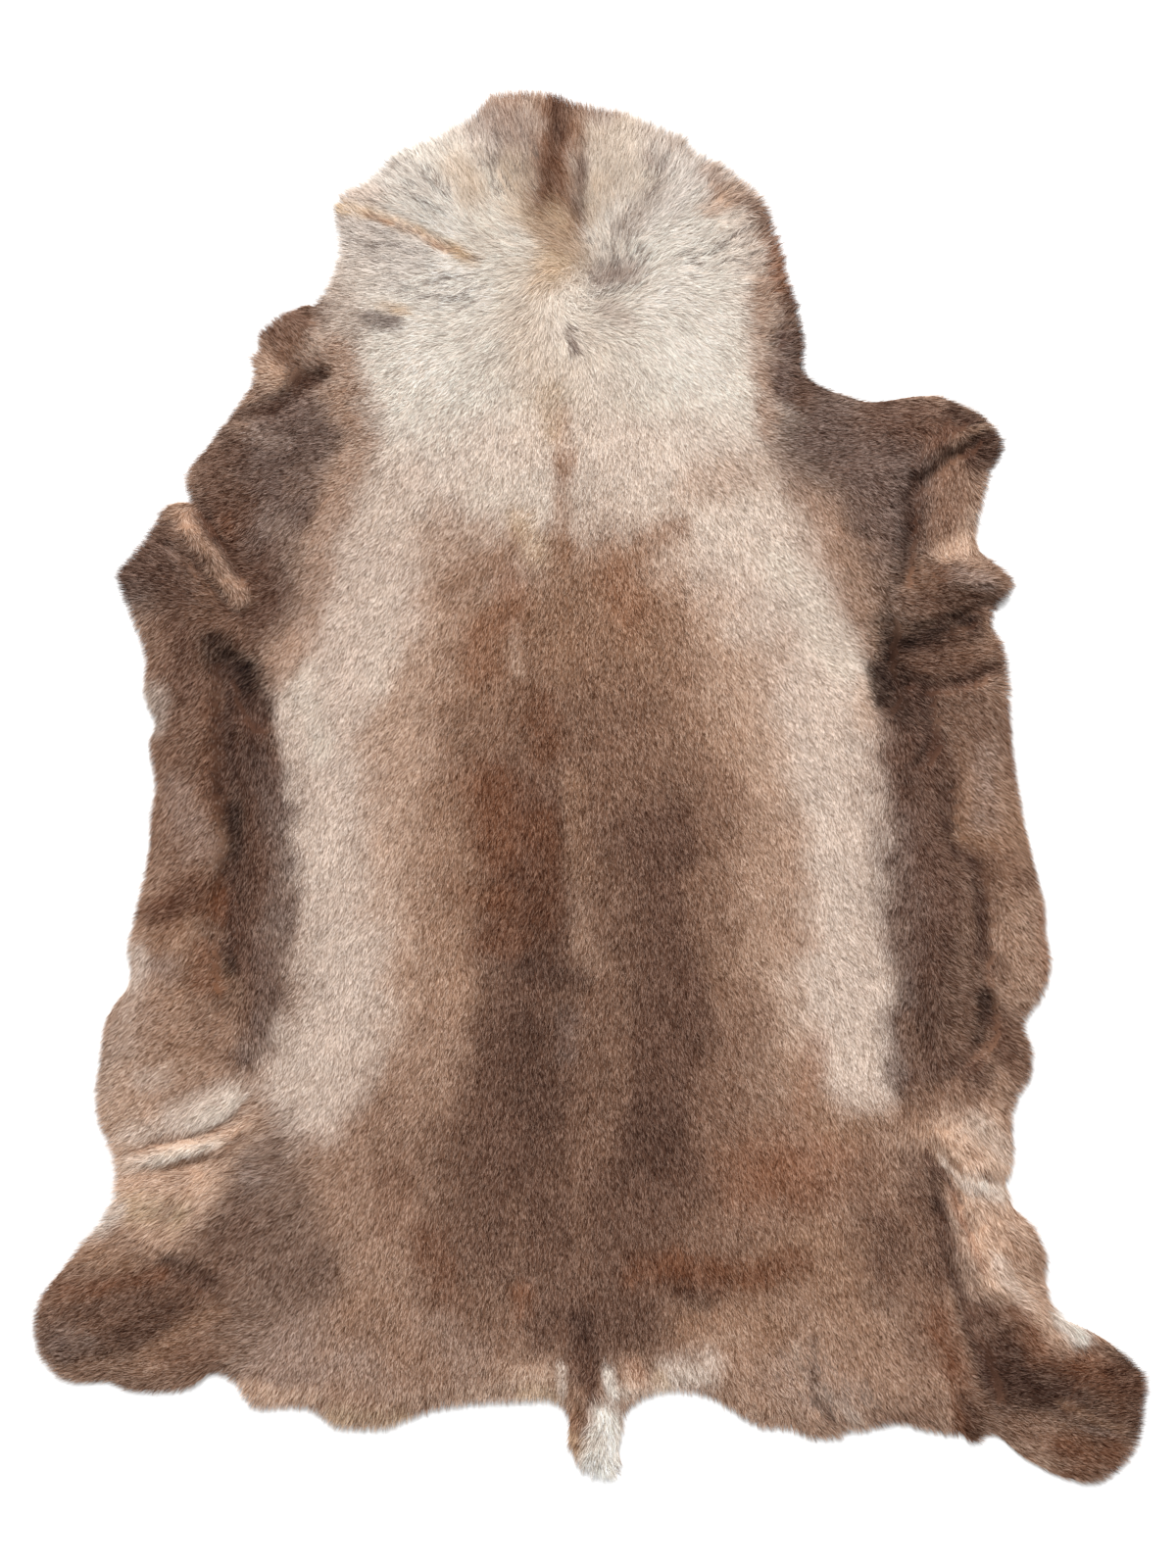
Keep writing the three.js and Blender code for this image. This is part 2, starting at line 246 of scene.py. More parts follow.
def length_of_hair(x, y, at_edge):
    """How far the hair reaches along the coat; at_edge is 1 at the cut edge and 0 inside it."""
    return HAIR_RUN * (1 + along_lines(x, y, LONG_HAIR) + EDGE_HAIR * at_edge)


# ---------------------------------------------------------------------------------------------------
# Skin: one piece of soft tanned reindeer leather, cut along the belly and down each leg and laid out.
# It keeps the folds that the animal's shape gave it, at the armpits, along the flanks and in the groins.
SKIN_THICKNESS = 1.8
EDGE_SPACING = 4.0
EDGE_CORNER = 0.25  # share of each side that a corner loses
EDGE_SMOOTHING = 12  # rounds
SKIN_SPACING = 9.0
FIRST_ROW = 0.6  # share of the spacing between the edge and the first points inside it
SAME_POINT = 0.0001
FACES_UP = 0.02  # least upward part of the normal of an upper face
FAR_OVER, FAR_UNDER = 0.3, -0.1  # where rays onto the solid start, in metres
PAST_EDGE = 0.62  # share of the hair's length that covers the ground past the edge, lying straight out
TURNED_BACK = 3.0  # how far the edge is cut outside the solid's where the hair lies back over the coat
EDGE_TUCK = 2.5  # how much further in the edge is at the rear than at the neck
# Where the knife ran further in, as name: (amount, reach, points).
TRIMMED = {
    "neck, right": (3.5, 26, 108, 580, 164, 522),
    "rear, left": (3.0, 26, -240, -585, -200, -592, -120, -572, -50, -566),
    "left hock": (3.0, 12, -340, -542, -308, -562),
    "left leg": (3.5, 22, -500, -455, -445, -392),
    "right belly": (3.0, 18, 402, -196, 400, -250),
    "right thigh": (3.0, 14, 412, -402, 420, -440),
    "right shoulder": (-4.0, 14, 372, 310, 364, 275),
    "right flap": (2.0, 14, 354, 236, 384, 200),
    "right hock": (-6.0, 14, 428, -474, 448, -496),
}
FLESH_COLOUR = (0.66, 0.55, 0.43, 1)
FLESH_SHADE = (0.50, 0.39, 0.29, 1)
SUEDE_ROUGHNESS = 0.9
SPOT_CONTRAST = 2
MOTTLE = {"scale": 14.0, "detail": 5.0}
MOTTLE_STARTS = 0.35
NAP = {"scale": 900.0, "detail": 2.0}
NAP_RELIEF = {"strength": 0.2, "height": 0.0005}
# Smaller folds beside the bigger ones of the solid, as name: (rise, reach, points). Those that sink are
# valleys in the coat, over which the skin itself lies flat.
FOLDS = {
    "left ear crease": (-8, 9, -246, 376, -262, 378, -272, 362, -290, 350, -322, 345),
    "left lobe ridge": (4, 9, -369, 236, -346, 217, -322, 178),
    "left lobe crease": (-7, 6, -362, 266, -349, 241, -333, 218, -322, 196),
    "left lobe line": (-4, 5, -392, 228, -366, 212, -346, 189, -333, 173),
    "left hollow": (-9, 14, -331, 116, -312, 104, -300, 66),
    "left valley": (-9, 8, -338, 104, -337, 40, -334, 0, -329, -50, -338, -100, -336, -176),
    "left groin ridge": (3, 12, -390, -306, -356, -296, -330, -284),
    "left groin crease": (-2, 3, -432, -337, -400, -324, -350, -315, -325, -299, -312, -284),
    "left groin pleat": (2.5, 7, -422, -340, -385, -333, -345, -323),
    "left groin, low crease": (-2, 3, -390, -349, -372, -339, -355, -334, -335, -334, -322, -322),
    "left thigh": (4, 20, -405, -368, -372, -364),
    "left hock": (-5, 11, -385, -436, -350, -452),
    "right corner ridge": (4, 6, 330, 318, 362, 336),
    "right corner crease": (-7, 7, 296, 285, 322, 306, 350, 318),
    "right armpit crease": (-9, 7, 294, 285, 290, 240, 284, 192),
    "right flap crease": (-9, 9, 300, 147, 335, 155, 362, 168),
    "right lobe crease": (-7, 7, 290, 99, 322, 95, 348, 101, 368, 112),
    "right hollow": (-9, 13, 268, 146, 264, 112, 270, 84),
    "right valley, front": (-7, 7, 308, 92, 310, 60, 314, 42, 300, 26),
    "right valley": (-9, 7, 325, 0, 328, -30, 334, -50, 352, -72, 359, -112, 362, -152),
    "right valley, rear": (-9, 9, 361, -192, 364, -224),
    "right groin, inner": (-6, 4, 309, -334, 319, -346, 331, -365, 337, -378),
    "right groin, outer": (-3, 3, 330, -338, 340, -349, 352, -352, 382, -359),
    "right groin ridge": (3, 9, 338, -314, 362, -338),
    "right leg valley": (-7, 7, 317, -382, 322, -411, 332, -446, 352, -501, 370, -556),
    "neck fold": (-6, 6, -222, 540, -170, 524, -128, 496),
}

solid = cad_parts["hide"]
solid_points = np.array([v.co for v in solid.data.vertices])
solid_faces = [tuple(f.vertices) for f in solid.data.polygons]
solid_surface = BVHTree.FromPolygons([Vector(p) for p in solid_points], solid_faces)


def rim_loop():
    """Directed sides of the upper faces that no other upper face shares, joined end to end."""
    keys = [tuple(np.round(p / MM, 2)) for p in solid_points]
    sides = set()
    for polygon in solid.data.polygons:
        if polygon.normal.z > FACES_UP:
            corners = [keys[i] for i in polygon.vertices]
            sides.update(zip(corners, corners[1:] + corners[:1]))
    following = {here: there for here, there in sides if (there, here) not in sides}
    start = here = next(iter(sorted(following)))
    loop = [start[:2]]
    while following[here] != start:
        here = following[here]
        loop.append(here[:2])
    return np.array(loop)


def even_loop(loop, spacing):
    """The same loop with its corners cut once and its points evenly spaced."""
    ahead, most = np.roll(loop, -1, 0), 1 - EDGE_CORNER
    cut = np.stack((most * loop + EDGE_CORNER * ahead, EDGE_CORNER * loop + most * ahead), 1).reshape(-1, 2)
    closed = np.vstack((cut, cut[:1]))
    along = np.concatenate(([0], np.cumsum(np.hypot(*np.diff(closed, axis=0).T))))
    places = np.linspace(0, along[-1], int(along[-1] / spacing), endpoint=False)
    return np.stack([np.interp(places, along, closed[:, axis]) for axis in (0, 1)], -1)


def inside_loop(x, y, loop):
    inside = np.zeros(x.shape, bool)
    for (ax, ay), (bx, by) in zip(loop, np.roll(loop, -1, 0)):
        if ay != by:
            inside ^= ((ay > y) != (by > y)) & (x < ax + (y - ay) * (bx - ax) / (by - ay))
    return inside


hide_edge = even_loop(rim_loop(), EDGE_SPACING)
edge_heading = unit(np.roll(hide_edge, -1, 0) - np.roll(hide_edge, 1, 0))
outwards = np.stack((edge_heading[:, 1], -edge_heading[:, 0]), -1)
lie_at_edge = lie_of_hair(*hide_edge.T)
outward_share = (lie_at_edge * outwards).sum(-1)
past_edge = PAST_EDGE * length_of_hair(*hide_edge.T, 1)
inset = outward_share * np.where(outward_share > 0, past_edge, TURNED_BACK) - EDGE_TUCK * outwards[:, 1]
inset += along_lines(*hide_edge.T, TRIMMED)
for _ in range(EDGE_SMOOTHING):
    inset = (np.roll(inset, 1) + inset + np.roll(inset, -1)) / 3
skin_edge = hide_edge - outwards * inset[:, None]
skin_edge = even_loop(skin_edge, EDGE_SPACING)


def from_edge(x, y, edge):
    return near_line(x, y, np.vstack((edge, edge[:1])))[0]


def flat_mesh(edge, spacing):
    """Points and triangles that fill a flat edge loop: even rows inside it, and the loop's own points."""
    low, high = edge.min(0), edge.max(0)
    across, along = np.meshgrid(
        np.arange(low[0], high[0], spacing), np.arange(low[1], high[1], spacing * math.sin(math.pi / 3)))
    across[1::2] += spacing / 2
    field = np.stack((across.ravel(), along.ravel()), -1)
    field = field[inside_loop(*field.T, edge)]
    field = field[from_edge(*field.T, edge) > FIRST_ROW * spacing]
    sides = [(i, (i + 1) % len(edge)) for i in range(len(edge))]
    points = [Vector(point) for point in np.vstack((edge, field))]
    filled = geometry.delaunay_2d_cdt(points, sides, [], 1, SAME_POINT)  # 1 keeps what lies inside
    return np.array([tuple(point) for point in filled[0]]), [tuple(face) for face in filled[2]]


def cast(points, from_height, heading, missing):
    """Height of the solid's top or underside at each point, or the missing one past its outline."""
    heights = []
    for x, y in points:
        hit = solid_surface.ray_cast(Vector((x * MM, y * MM, from_height)), Vector((0, 0, heading)))[0]
        heights.append(missing if hit is None else hit.z / MM)
    return np.array(heights)


def skin_height(points):
    """Height of the skin's underside: the solid's own, with the small ridges added."""
    return np.maximum(cast(points, FAR_UNDER, 1, 0.0), 0) + np.maximum(along_lines(*points.T, FOLDS), 0)


def rim_of(faces):
    """Sides that only one triangle has, in the direction in which it has them."""
    sides = {side for a, b, c in faces for side in ((a, b), (b, c), (c, a))}
    return sorted(side for side in sides if side[::-1] not in sides)


plan_points, plan_faces = flat_mesh(skin_edge, SKIN_SPACING)
under = skin_height(plan_points)
total = len(plan_points)
skin_points = np.hstack((plan_points, under[:, None])) * MM
skin_faces = [(a + total, b + total, c + total) for a, b, c in plan_faces]
skin_faces += [(a, c, b) for a, b, c in plan_faces]
skin_faces += [(a, b, b + total, a + total) for a, b in rim_of(plan_faces)]
skin_points = np.vstack((skin_points, skin_points + (0, 0, SKIN_THICKNESS * MM)))
skin_mesh = bpy.data.meshes.new("skin")
skin_mesh.from_pydata(skin_points.tolist(), [], skin_faces)
skin = bpy.data.objects.new("skin", skin_mesh)
scene.collection.objects.link(skin)


class Socket:
    """A node's output. Python's operators on it add Math nodes, and add() makes any other node."""

    def __init__(self, tree, output):
        self.tree = tree
        self.output = output

    @staticmethod
    def add(tree, kind, settings=None, inputs=None):
        """Adds a node, sets it up, then fills its sockets with values or links. Gives the node back."""
        node = tree.nodes.new(kind)
        for name, value in (settings or {}).items():
            setattr(node, name, value)
        for name, value in (inputs or {}).items():
            if isinstance(value, Socket):
                tree.links.new(value.output, node.inputs[name])
            else:
                node.inputs[name].default_value = value
        return node

    @classmethod
    def of(cls, tree, kind, settings=None, inputs=None, output=0):
        return cls(tree, cls.add(tree, kind, settings, inputs).outputs[output])

    def math(self, operation, *others, flip=False):
        values = [*others, self] if flip else [self, *others]
        return Socket.of(self.tree, "ShaderNodeMath", {"operation": operation}, dict(enumerate(values)))

    def __sub__(self, other):
        return self.math("SUBTRACT", other)

    def __rsub__(self, other):
        return self.math("SUBTRACT", other, flip=True)

    def __mul__(self, other):
        return self.math("MULTIPLY", other)

    __rmul__ = __mul__

    def __gt__(self, other):
        return self.math("GREATER_THAN", other)

    def __lt__(self, other):
        return self.math("LESS_THAN", other)


def new_material(name, roughness):
    material = bpy.data.materials.new(name)
    material.use_nodes = True
    shader = material.node_tree.nodes["Principled BSDF"]
    shader.inputs["Roughness"].default_value = roughness
    return material, material.node_tree, shader


def mix_colours(tree, share, first, second, blend="MIX"):
    """Colour mixing; each colour is a socket or four numbers."""
    mix = Socket.add(tree, "ShaderNodeMix", {"data_type": "RGBA", "blend_type": blend})
    for index, value in ((0, share), (6, first), (7, second)):
        if isinstance(value, Socket):
            tree.links.new(value.output, mix.inputs[index])
        else:
            mix.inputs[index].default_value = value
    return Socket(tree, mix.outputs[2])


def noise(tree, scale, detail):
    """Uneven spots about a half, fixed to the object."""
    place = Socket.of(tree, "ShaderNodeTexCoord", output="Object")
    inputs = {"Vector": place, "Scale": scale, "Detail": detail}
    return Socket.of(tree, "ShaderNodeTexNoise", None, inputs, "Fac")


def roughen(tree, shader, spots, strength, height):
    inputs = {"Height": spots, "Strength": strength, "Distance": height}
    relief = Socket.of(tree, "ShaderNodeBump", None, inputs)
    tree.links.new(relief.output, shader.inputs["Normal"])


suede, tree, shader = new_material("suede flesh side", SUEDE_ROUGHNESS)
mottled = (noise(tree, **MOTTLE) - MOTTLE_STARTS) * SPOT_CONTRAST
flesh = mix_colours(tree, mottled, FLESH_COLOUR, FLESH_SHADE)
tree.links.new(flesh.output, shader.inputs["Base Color"])
roughen(tree, shader, noise(tree, **NAP), **NAP_RELIEF)

skin_mesh.materials.append(suede)
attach(skin, "root")
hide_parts("hide")


# ---------------------------------------------------------------------------------------------------
# Colour of the coat: cream on the neck and sides, dark grey-brown on back, shoulders, flanks and feet,
# with rust patches, in soft-edged strokes laid one over another as a painter would lay them. Thin dark
# strokes along the creases and hollows are painted shade, and pale strokes on the left groin's ridges are
# painted highlight.
TONES = {
    "white": (243, 236, 226), "cream": (228, 218, 207), "oat": (210, 191, 176), "sand": (190, 160, 138),
    "peach": (207, 173, 148), "ochre": (201, 173, 142), "straw": (217, 203, 189), "fawn": (167, 134, 112),
    "mist": (203, 192, 184), "taupe": (184, 166, 152), "ash": (160, 137, 124), "tan": (152, 116, 92),
    "brown": (132, 99, 80), "rust": (146, 92, 62), "chestnut": (114, 72, 50), "umber": (102, 73, 59),
    "slate": (112, 90, 80), "dark": (76, 53, 43), "black": (44, 30, 24),
}
BASE_TONE = "fawn"
STROKE_FADE = (0.3, 1.7)
WAVER = 13.0  # how far the edges of the strokes wander
WAVER_ACROSS = ((1, 45, 21), (0.6, 16, 22))  # clouds, as (depth, size, seed)
WAVER_ALONG = ((1, 45, 23), (0.6, 16, 24))
BROAD = 30  # least reach of the strokes that wander in full; the others break up instead
BROKEN = (11, 25)  # the cloud that breaks them up, as (size, seed)
BREAK_DEPTH = 0.5
BREAK_LEVEL = 0.4
PATCHES = ((0.06, 14, 31),)  # faint, all over the coat
STREAK_LENGTH = 10.0
STREAK_STEPS = 5
# Each area's strokes as (tone, strength, reach, points): at its reach from the line through its points a
# stroke is half as strong as on it. Broad strokes come first.
STROKES = {}
STROKES["back"] = [
    ("tan", 0.9, 85, -60, 150, 20, 150),
    ("tan", 1.0, 110, -50, 80, -20, 0),
    ("brown", 0.9, 105, -20, 20, 0, -120, -10, -260),
    ("brown", 1.0, 130, -40, -350, 60, -390),
    ("umber", 0.95, 50, 70, -50, 76, -130, 66, -230, 62, -330),
    ("umber", 0.9, 46, -62, -20, -64, -100, -62, -150, -60, -250, -70, -320),
    ("umber", 0.75, 60, -60, -410, 30, -400, -10, -460),
    ("umber", 0.35, 50, -100, -380, -120, -450),
]
STROKES["left side"] = [
    ("sand", 0.9, 46, -150, 225, -175, 120, -180, 20, -190, -90, -180, -220),
    ("oat", 0.8, 34, -192, 245, -200, 150),
    ("straw", 0.8, 24, -206, 182, -206, 110),
    ("oat", 1.0, 40, -222, 205, -242, 110, -246, 10, -234, -90, -234, -200, -264, -280),
    ("straw", 0.9, 17, -266, 105, -258, 40),
    ("oat", 0.6, 24, -212, -160, -205, -230, -240, -290),
    ("sand", 0.5, 16, -205, 40, -196, -50),
]
STROKES["right side"] = [
    ("sand", 0.9, 44, 95, 245, 145, 140, 166, 20, 174, -100, 196, -230),
    ("oat", 0.9, 34, 112, 232, 150, 170),
    ("oat", 1.0, 40, 150, 250, 196, 170, 220, 60, 232, -60, 230, -170, 250, -254),
    ("oat", 0.7, 13, 262, -50, 268, -150),
    ("straw", 0.8, 22, 178, 210, 215, 146, 232, 110),
    ("sand", 0.6, 11, 250, 96, 250, 66),
]
STROKES["neck"] = [
    ("straw", 1.0, 110, -130, 520, 30, 530, 50, 420, -120, 420, -110, 350, 90, 350),
    ("cream", 0.9, 60, -150, 560, -120, 510, -90, 505),
    ("cream", 0.9, 64, -165, 445, -150, 352),
    ("cream", 0.95, 56, 84, 512, 90, 430, 98, 360),
    ("mist", 0.5, 28, -214, 510, -170, 486),
    ("mist", 0.3, 18, -180, 562, -150, 545),
    ("mist", 0.6, 32, 90, 568, 60, 535),
    ("ochre", 0.2, 30, -62, 470, -55, 400, -42, 335),
    ("cream", 0.5, 46, -60, 550, 40, 560),
    ("cream", 0.3, 40, 10, 450, 50, 440),
    ("ochre", 0.2, 18, -105, 575, -95, 530, -110, 490),
    ("ochre", 0.5, 16, -128, 574, -114, 550),
    ("white", 0.4, 16, -150, 528, -132, 508),
    ("white", 0.35, 20, -128, 476, -102, 466),
    ("ochre", 0.4, 14, 6, 552, 2, 528),
    ("oat", 0.6, 36, -140, 306, -60, 310, 60, 308, 110, 304),
    ("straw", 0.8, 20, -96, 270, -50, 268),
    ("sand", 0.5, 20, 98, 272, 150, 288),
    ("sand", 0.25, 20, -200, 306, -170, 285),
]
STROKES["spine"] = [
    ("sand", 0.8, 10, -30, 345, -24, 300),
    ("tan", 0.8, 9, -26, 300, -27, 215),
    ("tan", 0.8, 14, -27, 215, -26, 110),
    ("tan", 0.6, 12, -14, 10, -12, -74),
    ("fawn", 0.55, 11, -14, -88, -8, -130, 14, -168),
    ("brown", 0.8, 14, 14, -178, 26, -220, 24, -270, 4, -330),
    ("brown", 0.6, 9, -12, -350, -8, -430),
    ("brown", 0.5, 8, -70, -380, -72, -430),
]
STROKES["shoulder blades"] = [
    ("tan", 0.8, 12, -74, 228, -100, 205, -124, 190),
    ("ochre", 0.6, 14, -66, 248, -50, 224),
    ("fawn", 0.35, 24, -136, 245, -112, 208),
    ("oat", 0.6, 22, -180, 218, -168, 165),
    ("rust", 0.4, 13, -75, 190, -75, 155),
    ("rust", 0.3, 17, -98, 145, -95, 110),
    ("sand", 0.5, 6, -69, 149, -68, 108),
    ("tan", 0.8, 12, 79, 241, 52, 222, 26, 205),
    ("tan", 0.7, 28, 20, 190, 55, 150),
    ("rust", 0.3, 18, 20, 190, 45, 160),
]
STROKES["middle back"] = [
    ("chestnut", 0.7, 14, -52, 80, -42, 40),
    ("chestnut", 0.5, 34, -82, -10, -72, -110),
    ("rust", 0.25, 22, -94, 0, -94, -50),
    ("chestnut", 0.8, 12, -132, -94, -80, -98),
    ("chestnut", 0.6, 14, -44, -25, -44, -112),
    ("dark", 0.35, 24, -62, -80, -42, -125),
    ("chestnut", 0.4, 14, -104, -140, -75, -142),
    ("dark", 0.75, 13, -54, -160, -10, -170),
    ("dark", 0.45, 22, -58, -215, -48, -290),
    ("slate", 0.6, 11, -18, -205, -20, -238),
    ("dark", 0.5, 24, 70, -300, 52, -335),
    ("tan", 0.5, 24, 116, 60, 128, -180),
    ("brown", 0.7, 24, 108, 0, 120, -70, 116, -130),
    ("fawn", 0.6, 28, 160, -30, 172, -130),
    ("tan", 0.6, 26, -136, -10, -142, -90, -138, -200),
    ("brown", 0.7, 34, 140, -210, 128, -285),
    ("tan", 0.5, 20, 186, -250, 206, -275),
    ("fawn", 0.7, 28, -150, -230, -160, -290),
]
STROKES["rump"] = [
    ("slate", 0.55, 50, -300, -365, -292, -410, -270, -450, -330, -460),
    ("slate", 0.4, 16, -300, -322, -298, -346),
    ("ash", 0.8, 11, -311, -330, -312, -362),
    ("umber", 0.4, 20, -300, -435, -250, -440),
    ("umber", 0.5, 16, -330, -425, -300, -395),
    ("fawn", 0.8, 30, -226, -345, -206, -385, -196, -440),
    ("chestnut", 0.45, 18, -184, -350, -178, -400),
    ("fawn", 0.5, 10, -165, -390, -178, -480),
    ("chestnut", 0.5, 18, -148, -410, -130, -465),
    ("ash", 0.55, 34, -290, -525, -200, -512, -140, -525),
    ("fawn", 0.6, 10, -200, -440, -240, -515),
    ("tan", 0.7, 26, -215, -480, -150, -530),
    ("peach", 0.8, 12, -325, -552, -262, -558),
    ("fawn", 0.8, 14, -262, -580, -200, -590, -130, -566, -60, -556),
    ("ochre", 0.5, 10, -236, -578, -170, -580),
    ("brown", 0.7, 22, -116, -478, -90, -500),
    ("sand", 0.9, 12, -72, -546, -34, -540),
    ("sand", 0.6, 9, -112, -558, -60, -554),
    ("ochre", 0.7, 8, -60, -556, -36, -556),
    ("chestnut", 0.55, 24, 168, -350, 188, -372),
    ("rust", 0.35, 32, 150, -350, 232, -342),
    ("rust", 0.3, 14, 205, -240, 190, -285),
    ("rust", 0.3, 20, 215, -312, 242, -332),
    ("tan", 0.9, 18, 215, -298, 250, -306),
    ("tan", 0.8, 22, 205, -410, 160, -445),
    ("brown", 0.8, 36, 258, -350, 262, -420),
    ("umber", 0.8, 17, 262, -395, 280, -440),
    ("dark", 0.5, 9, 250, -462, 292, -470),
    ("tan", 0.7, 28, 225, -440, 240, -510),
    ("fawn", 0.7, 38, 150, -510, 230, -530, 290, -530),
    ("tan", 0.8, 22, 100, -490, 160, -488),
    ("brown", 0.9, 22, 298, -380, 308, -450, 304, -512),
    ("ash", 0.3, 20, 180, -540, 230, -560),
    ("chestnut", 0.85, 16, 44, -448, 80, -438),
    ("rust", 0.5, 10, -66, -462, -64, -478),
    ("dark", 0.85, 11, 78, -450, 108, -462, 120, -450),
    ("chestnut", 0.85, 15, 85, -440, 150, -446, 188, -432),
    ("sand", 0.4, 8, 95, -506, 140, -498),
    ("dark", 0.6, 4, 203, -500, 207, -560),
    ("sand", 0.5, 4, 186, -505, 194, -545),
    ("taupe", 0.5, 5, 212, -548, 245, -576),
    ("dark", 0.7, 5, 218, -574, 214, -560),
    ("brown", 0.8, 9, 262, -572, 305, -580),
    ("chestnut", 0.9, 15, 322, -490, 336, -540, 345, -600),
    ("dark", 0.7, 10, 344, -556, 352, -592),
    ("brown", 0.6, 12, 290, -560, 312, -566),
    ("umber", 0.8, 26, -45, -492, 45, -490),
]
STROKES["left shoulder"] = [
    ("fawn", 0.8, 20, -214, 330, -233, 265, -256, 190, -284, 110),
    ("slate", 1.0, 40, -275, 345, -303, 300, -305, 250, -310, 195),
    ("slate", 0.9, 15, -245, 325, -266, 255),
    ("umber", 0.9, 28, -305, 200, -318, 150),
    ("ash", 0.6, 8, -308, 326, -285, 318),
    ("ash", 0.5, 13, -302, 248, -280, 240),
    ("dark", 0.6, 10, -338, 325, -330, 308),
    ("umber", 0.6, 14, -360, 305, -348, 262),
    ("umber", 0.7, 24, -340, 290, -330, 250),
    ("taupe", 0.9, 18, -235, 440, -228, 415),
    ("fawn", 0.9, 18, -232, 395, -222, 350),
    ("brown", 1.0, 24, -280, 430, -292, 400),
    ("umber", 0.6, 16, -264, 438, -294, 420),
    ("fawn", 0.7, 9, -304, 404, -300, 392),
    ("peach", 1.0, 10, -304, 388, -290, 376),
    ("brown", 0.7, 9, -318, 372, -306, 392),
    ("umber", 0.8, 13, -252, 384, -262, 372),
    # Painted shade along the crease under the left ear lobe.
    ("dark", 1.0, 8, -246, 380, -262, 376, -275, 360, -290, 351, -326, 345),
]
STROKES["left lobe"] = [
    ("slate", 1.0, 38, -415, 200, -370, 205),
    ("umber", 0.8, 24, -425, 212, -395, 238),
    ("dark", 0.5, 22, -432, 204, -400, 196),
    ("ash", 0.6, 9, -380, 222, -366, 206),
    ("ash", 0.5, 8, -412, 168, -402, 160),
    ("fawn", 0.9, 9, -385, 258, -364, 250),
    ("umber", 0.9, 22, -338, 250, -325, 205, -325, 150),
    ("rust", 0.3, 10, -338, 240, -326, 200),
    ("brown", 0.9, 14, -375, 225, -348, 190),
    # Painted shade along the left lobe's line.
    ("dark", 0.8, 3.5, -392, 228, -366, 212, -346, 189, -333, 173),
    ("fawn", 1.0, 8, -369, 240, -348, 219, -334, 199, -321, 176),
    # Painted shade in the left lobe crease.
    ("dark", 1.0, 5, -362, 266, -349, 241, -334, 218, -323, 198),
    ("brown", 0.7, 14, -355, 165, -325, 145),
]
STROKES["left belly"] = [
    ("brown", 0.9, 40, -390, 120, -380, 40, -378, -60),
    ("umber", 0.9, 26, -384, 174, -366, 140, -370, 100),
    ("umber", 0.4, 22, -370, 62, -364, 30),
    ("umber", 1.0, 30, -314, 90, -312, 0, -310, -110, -316, -180),
    ("brown", 0.6, 14, -300, -180, -304, -215),
    ("slate", 0.8, 14, -306, 24, -290, -26, -278, -60, -282, -110, -294, -160, -300, -225, -318, -245),
    ("oat", 0.8, 11, -273, 70, -273, -4),
    ("taupe", 0.9, 12, -405, 92, -400, 60),
    ("ash", 0.5, 15, -378, 0, -362, -55),
    ("chestnut", 0.6, 9, -348, 75, -347, 30, -343, -20),
    # Painted shade: the next three strokes lie in the left hollow.
    ("black", 1.0, 15, -336, 130, -326, 104),
    ("black", 1.0, 15, -314, 112, -308, 82),
    ("dark", 0.9, 11, -300, 78, -300, 45),
    # Painted shade: this stroke and the dark and black ones at x -328 to -345 below lie down the left
    # valley.
    ("dark", 0.9, 12, -337, 104, -337, 42, -334, 0, -330, -30),
    ("dark", 0.8, 16, -322, 66, -316, 5),
    ("dark", 0.6, 12, -322, -50, -322, -140),
    ("black", 0.9, 8, -331, -20, -328, -60),
    ("dark", 0.7, 10, -334, -70, -336, -165),
    ("dark", 0.8, 11, -340, -92, -335, -112),
    ("chestnut", 0.9, 19, -396, -107, -350, -104),
    ("umber", 0.6, 13, -398, -112, -365, -98),
    ("black", 1.0, 10, -333, -160, -337, -180, -345, -192),
    ("tan", 0.8, 28, -388, -150, -364, -180),
    ("umber", 0.5, 17, -357, -142, -354, -190),
    ("rust", 0.3, 12, -356, -150, -352, -180),
    ("ash", 0.6, 16, -412, -160, -392, -165),
    ("oat", 0.8, 12, -418, -150, -424, -180),
    ("fawn", 0.8, 28, -425, -222, -365, -222),
    ("brown", 0.6, 14, -350, -215, -340, -240),
    ("taupe", 0.4, 20, -426, -212, -440, -280),
    ("sand", 0.7, 20, -425, -266, -385, -262),
    ("oat", 0.5, 10, -408, -268, -392, -264),
    ("tan", 0.5, 11, -378, -236, -362, -238),
    ("fawn", 0.9, 10, -372, -268, -340, -258),
    ("sand", 0.8, 10, -440, -295, -415, -292),
]
STROKES["right shoulder"] = [
    ("fawn", 0.5, 12, 176, 310, 212, 258, 246, 192, 266, 120),
    ("slate", 1.0, 42, 216, 330, 255, 300, 275, 320, 282, 260),
    ("slate", 0.7, 15, 250, 262, 268, 210, 279, 165),
    ("umber", 0.9, 20, 185, 388, 194, 370),
    ("umber", 0.8, 24, 270, 345, 320, 345),
    ("umber", 1.0, 26, 318, 330, 350, 322),
    ("dark", 1.0, 12, 332, 346, 354, 338, 374, 310),
    # Painted shade in the crease along the top of the right shoulder's step.
    ("dark", 0.8, 11, 300, 295, 345, 304),
    ("brown", 0.9, 22, 332, 280, 328, 240),
    ("sand", 0.7, 8, 350, 248, 342, 228),
    ("fawn", 0.7, 3.5, 332, 318, 348, 328, 362, 335),
    # Painted shade down the right armpit crease.
    ("dark", 1.0, 10, 297, 282, 293, 240, 286, 195),
    ("peach", 1.0, 11, 324, 220, 352, 226),
    ("umber", 0.8, 6, 314, 206, 330, 200),
]
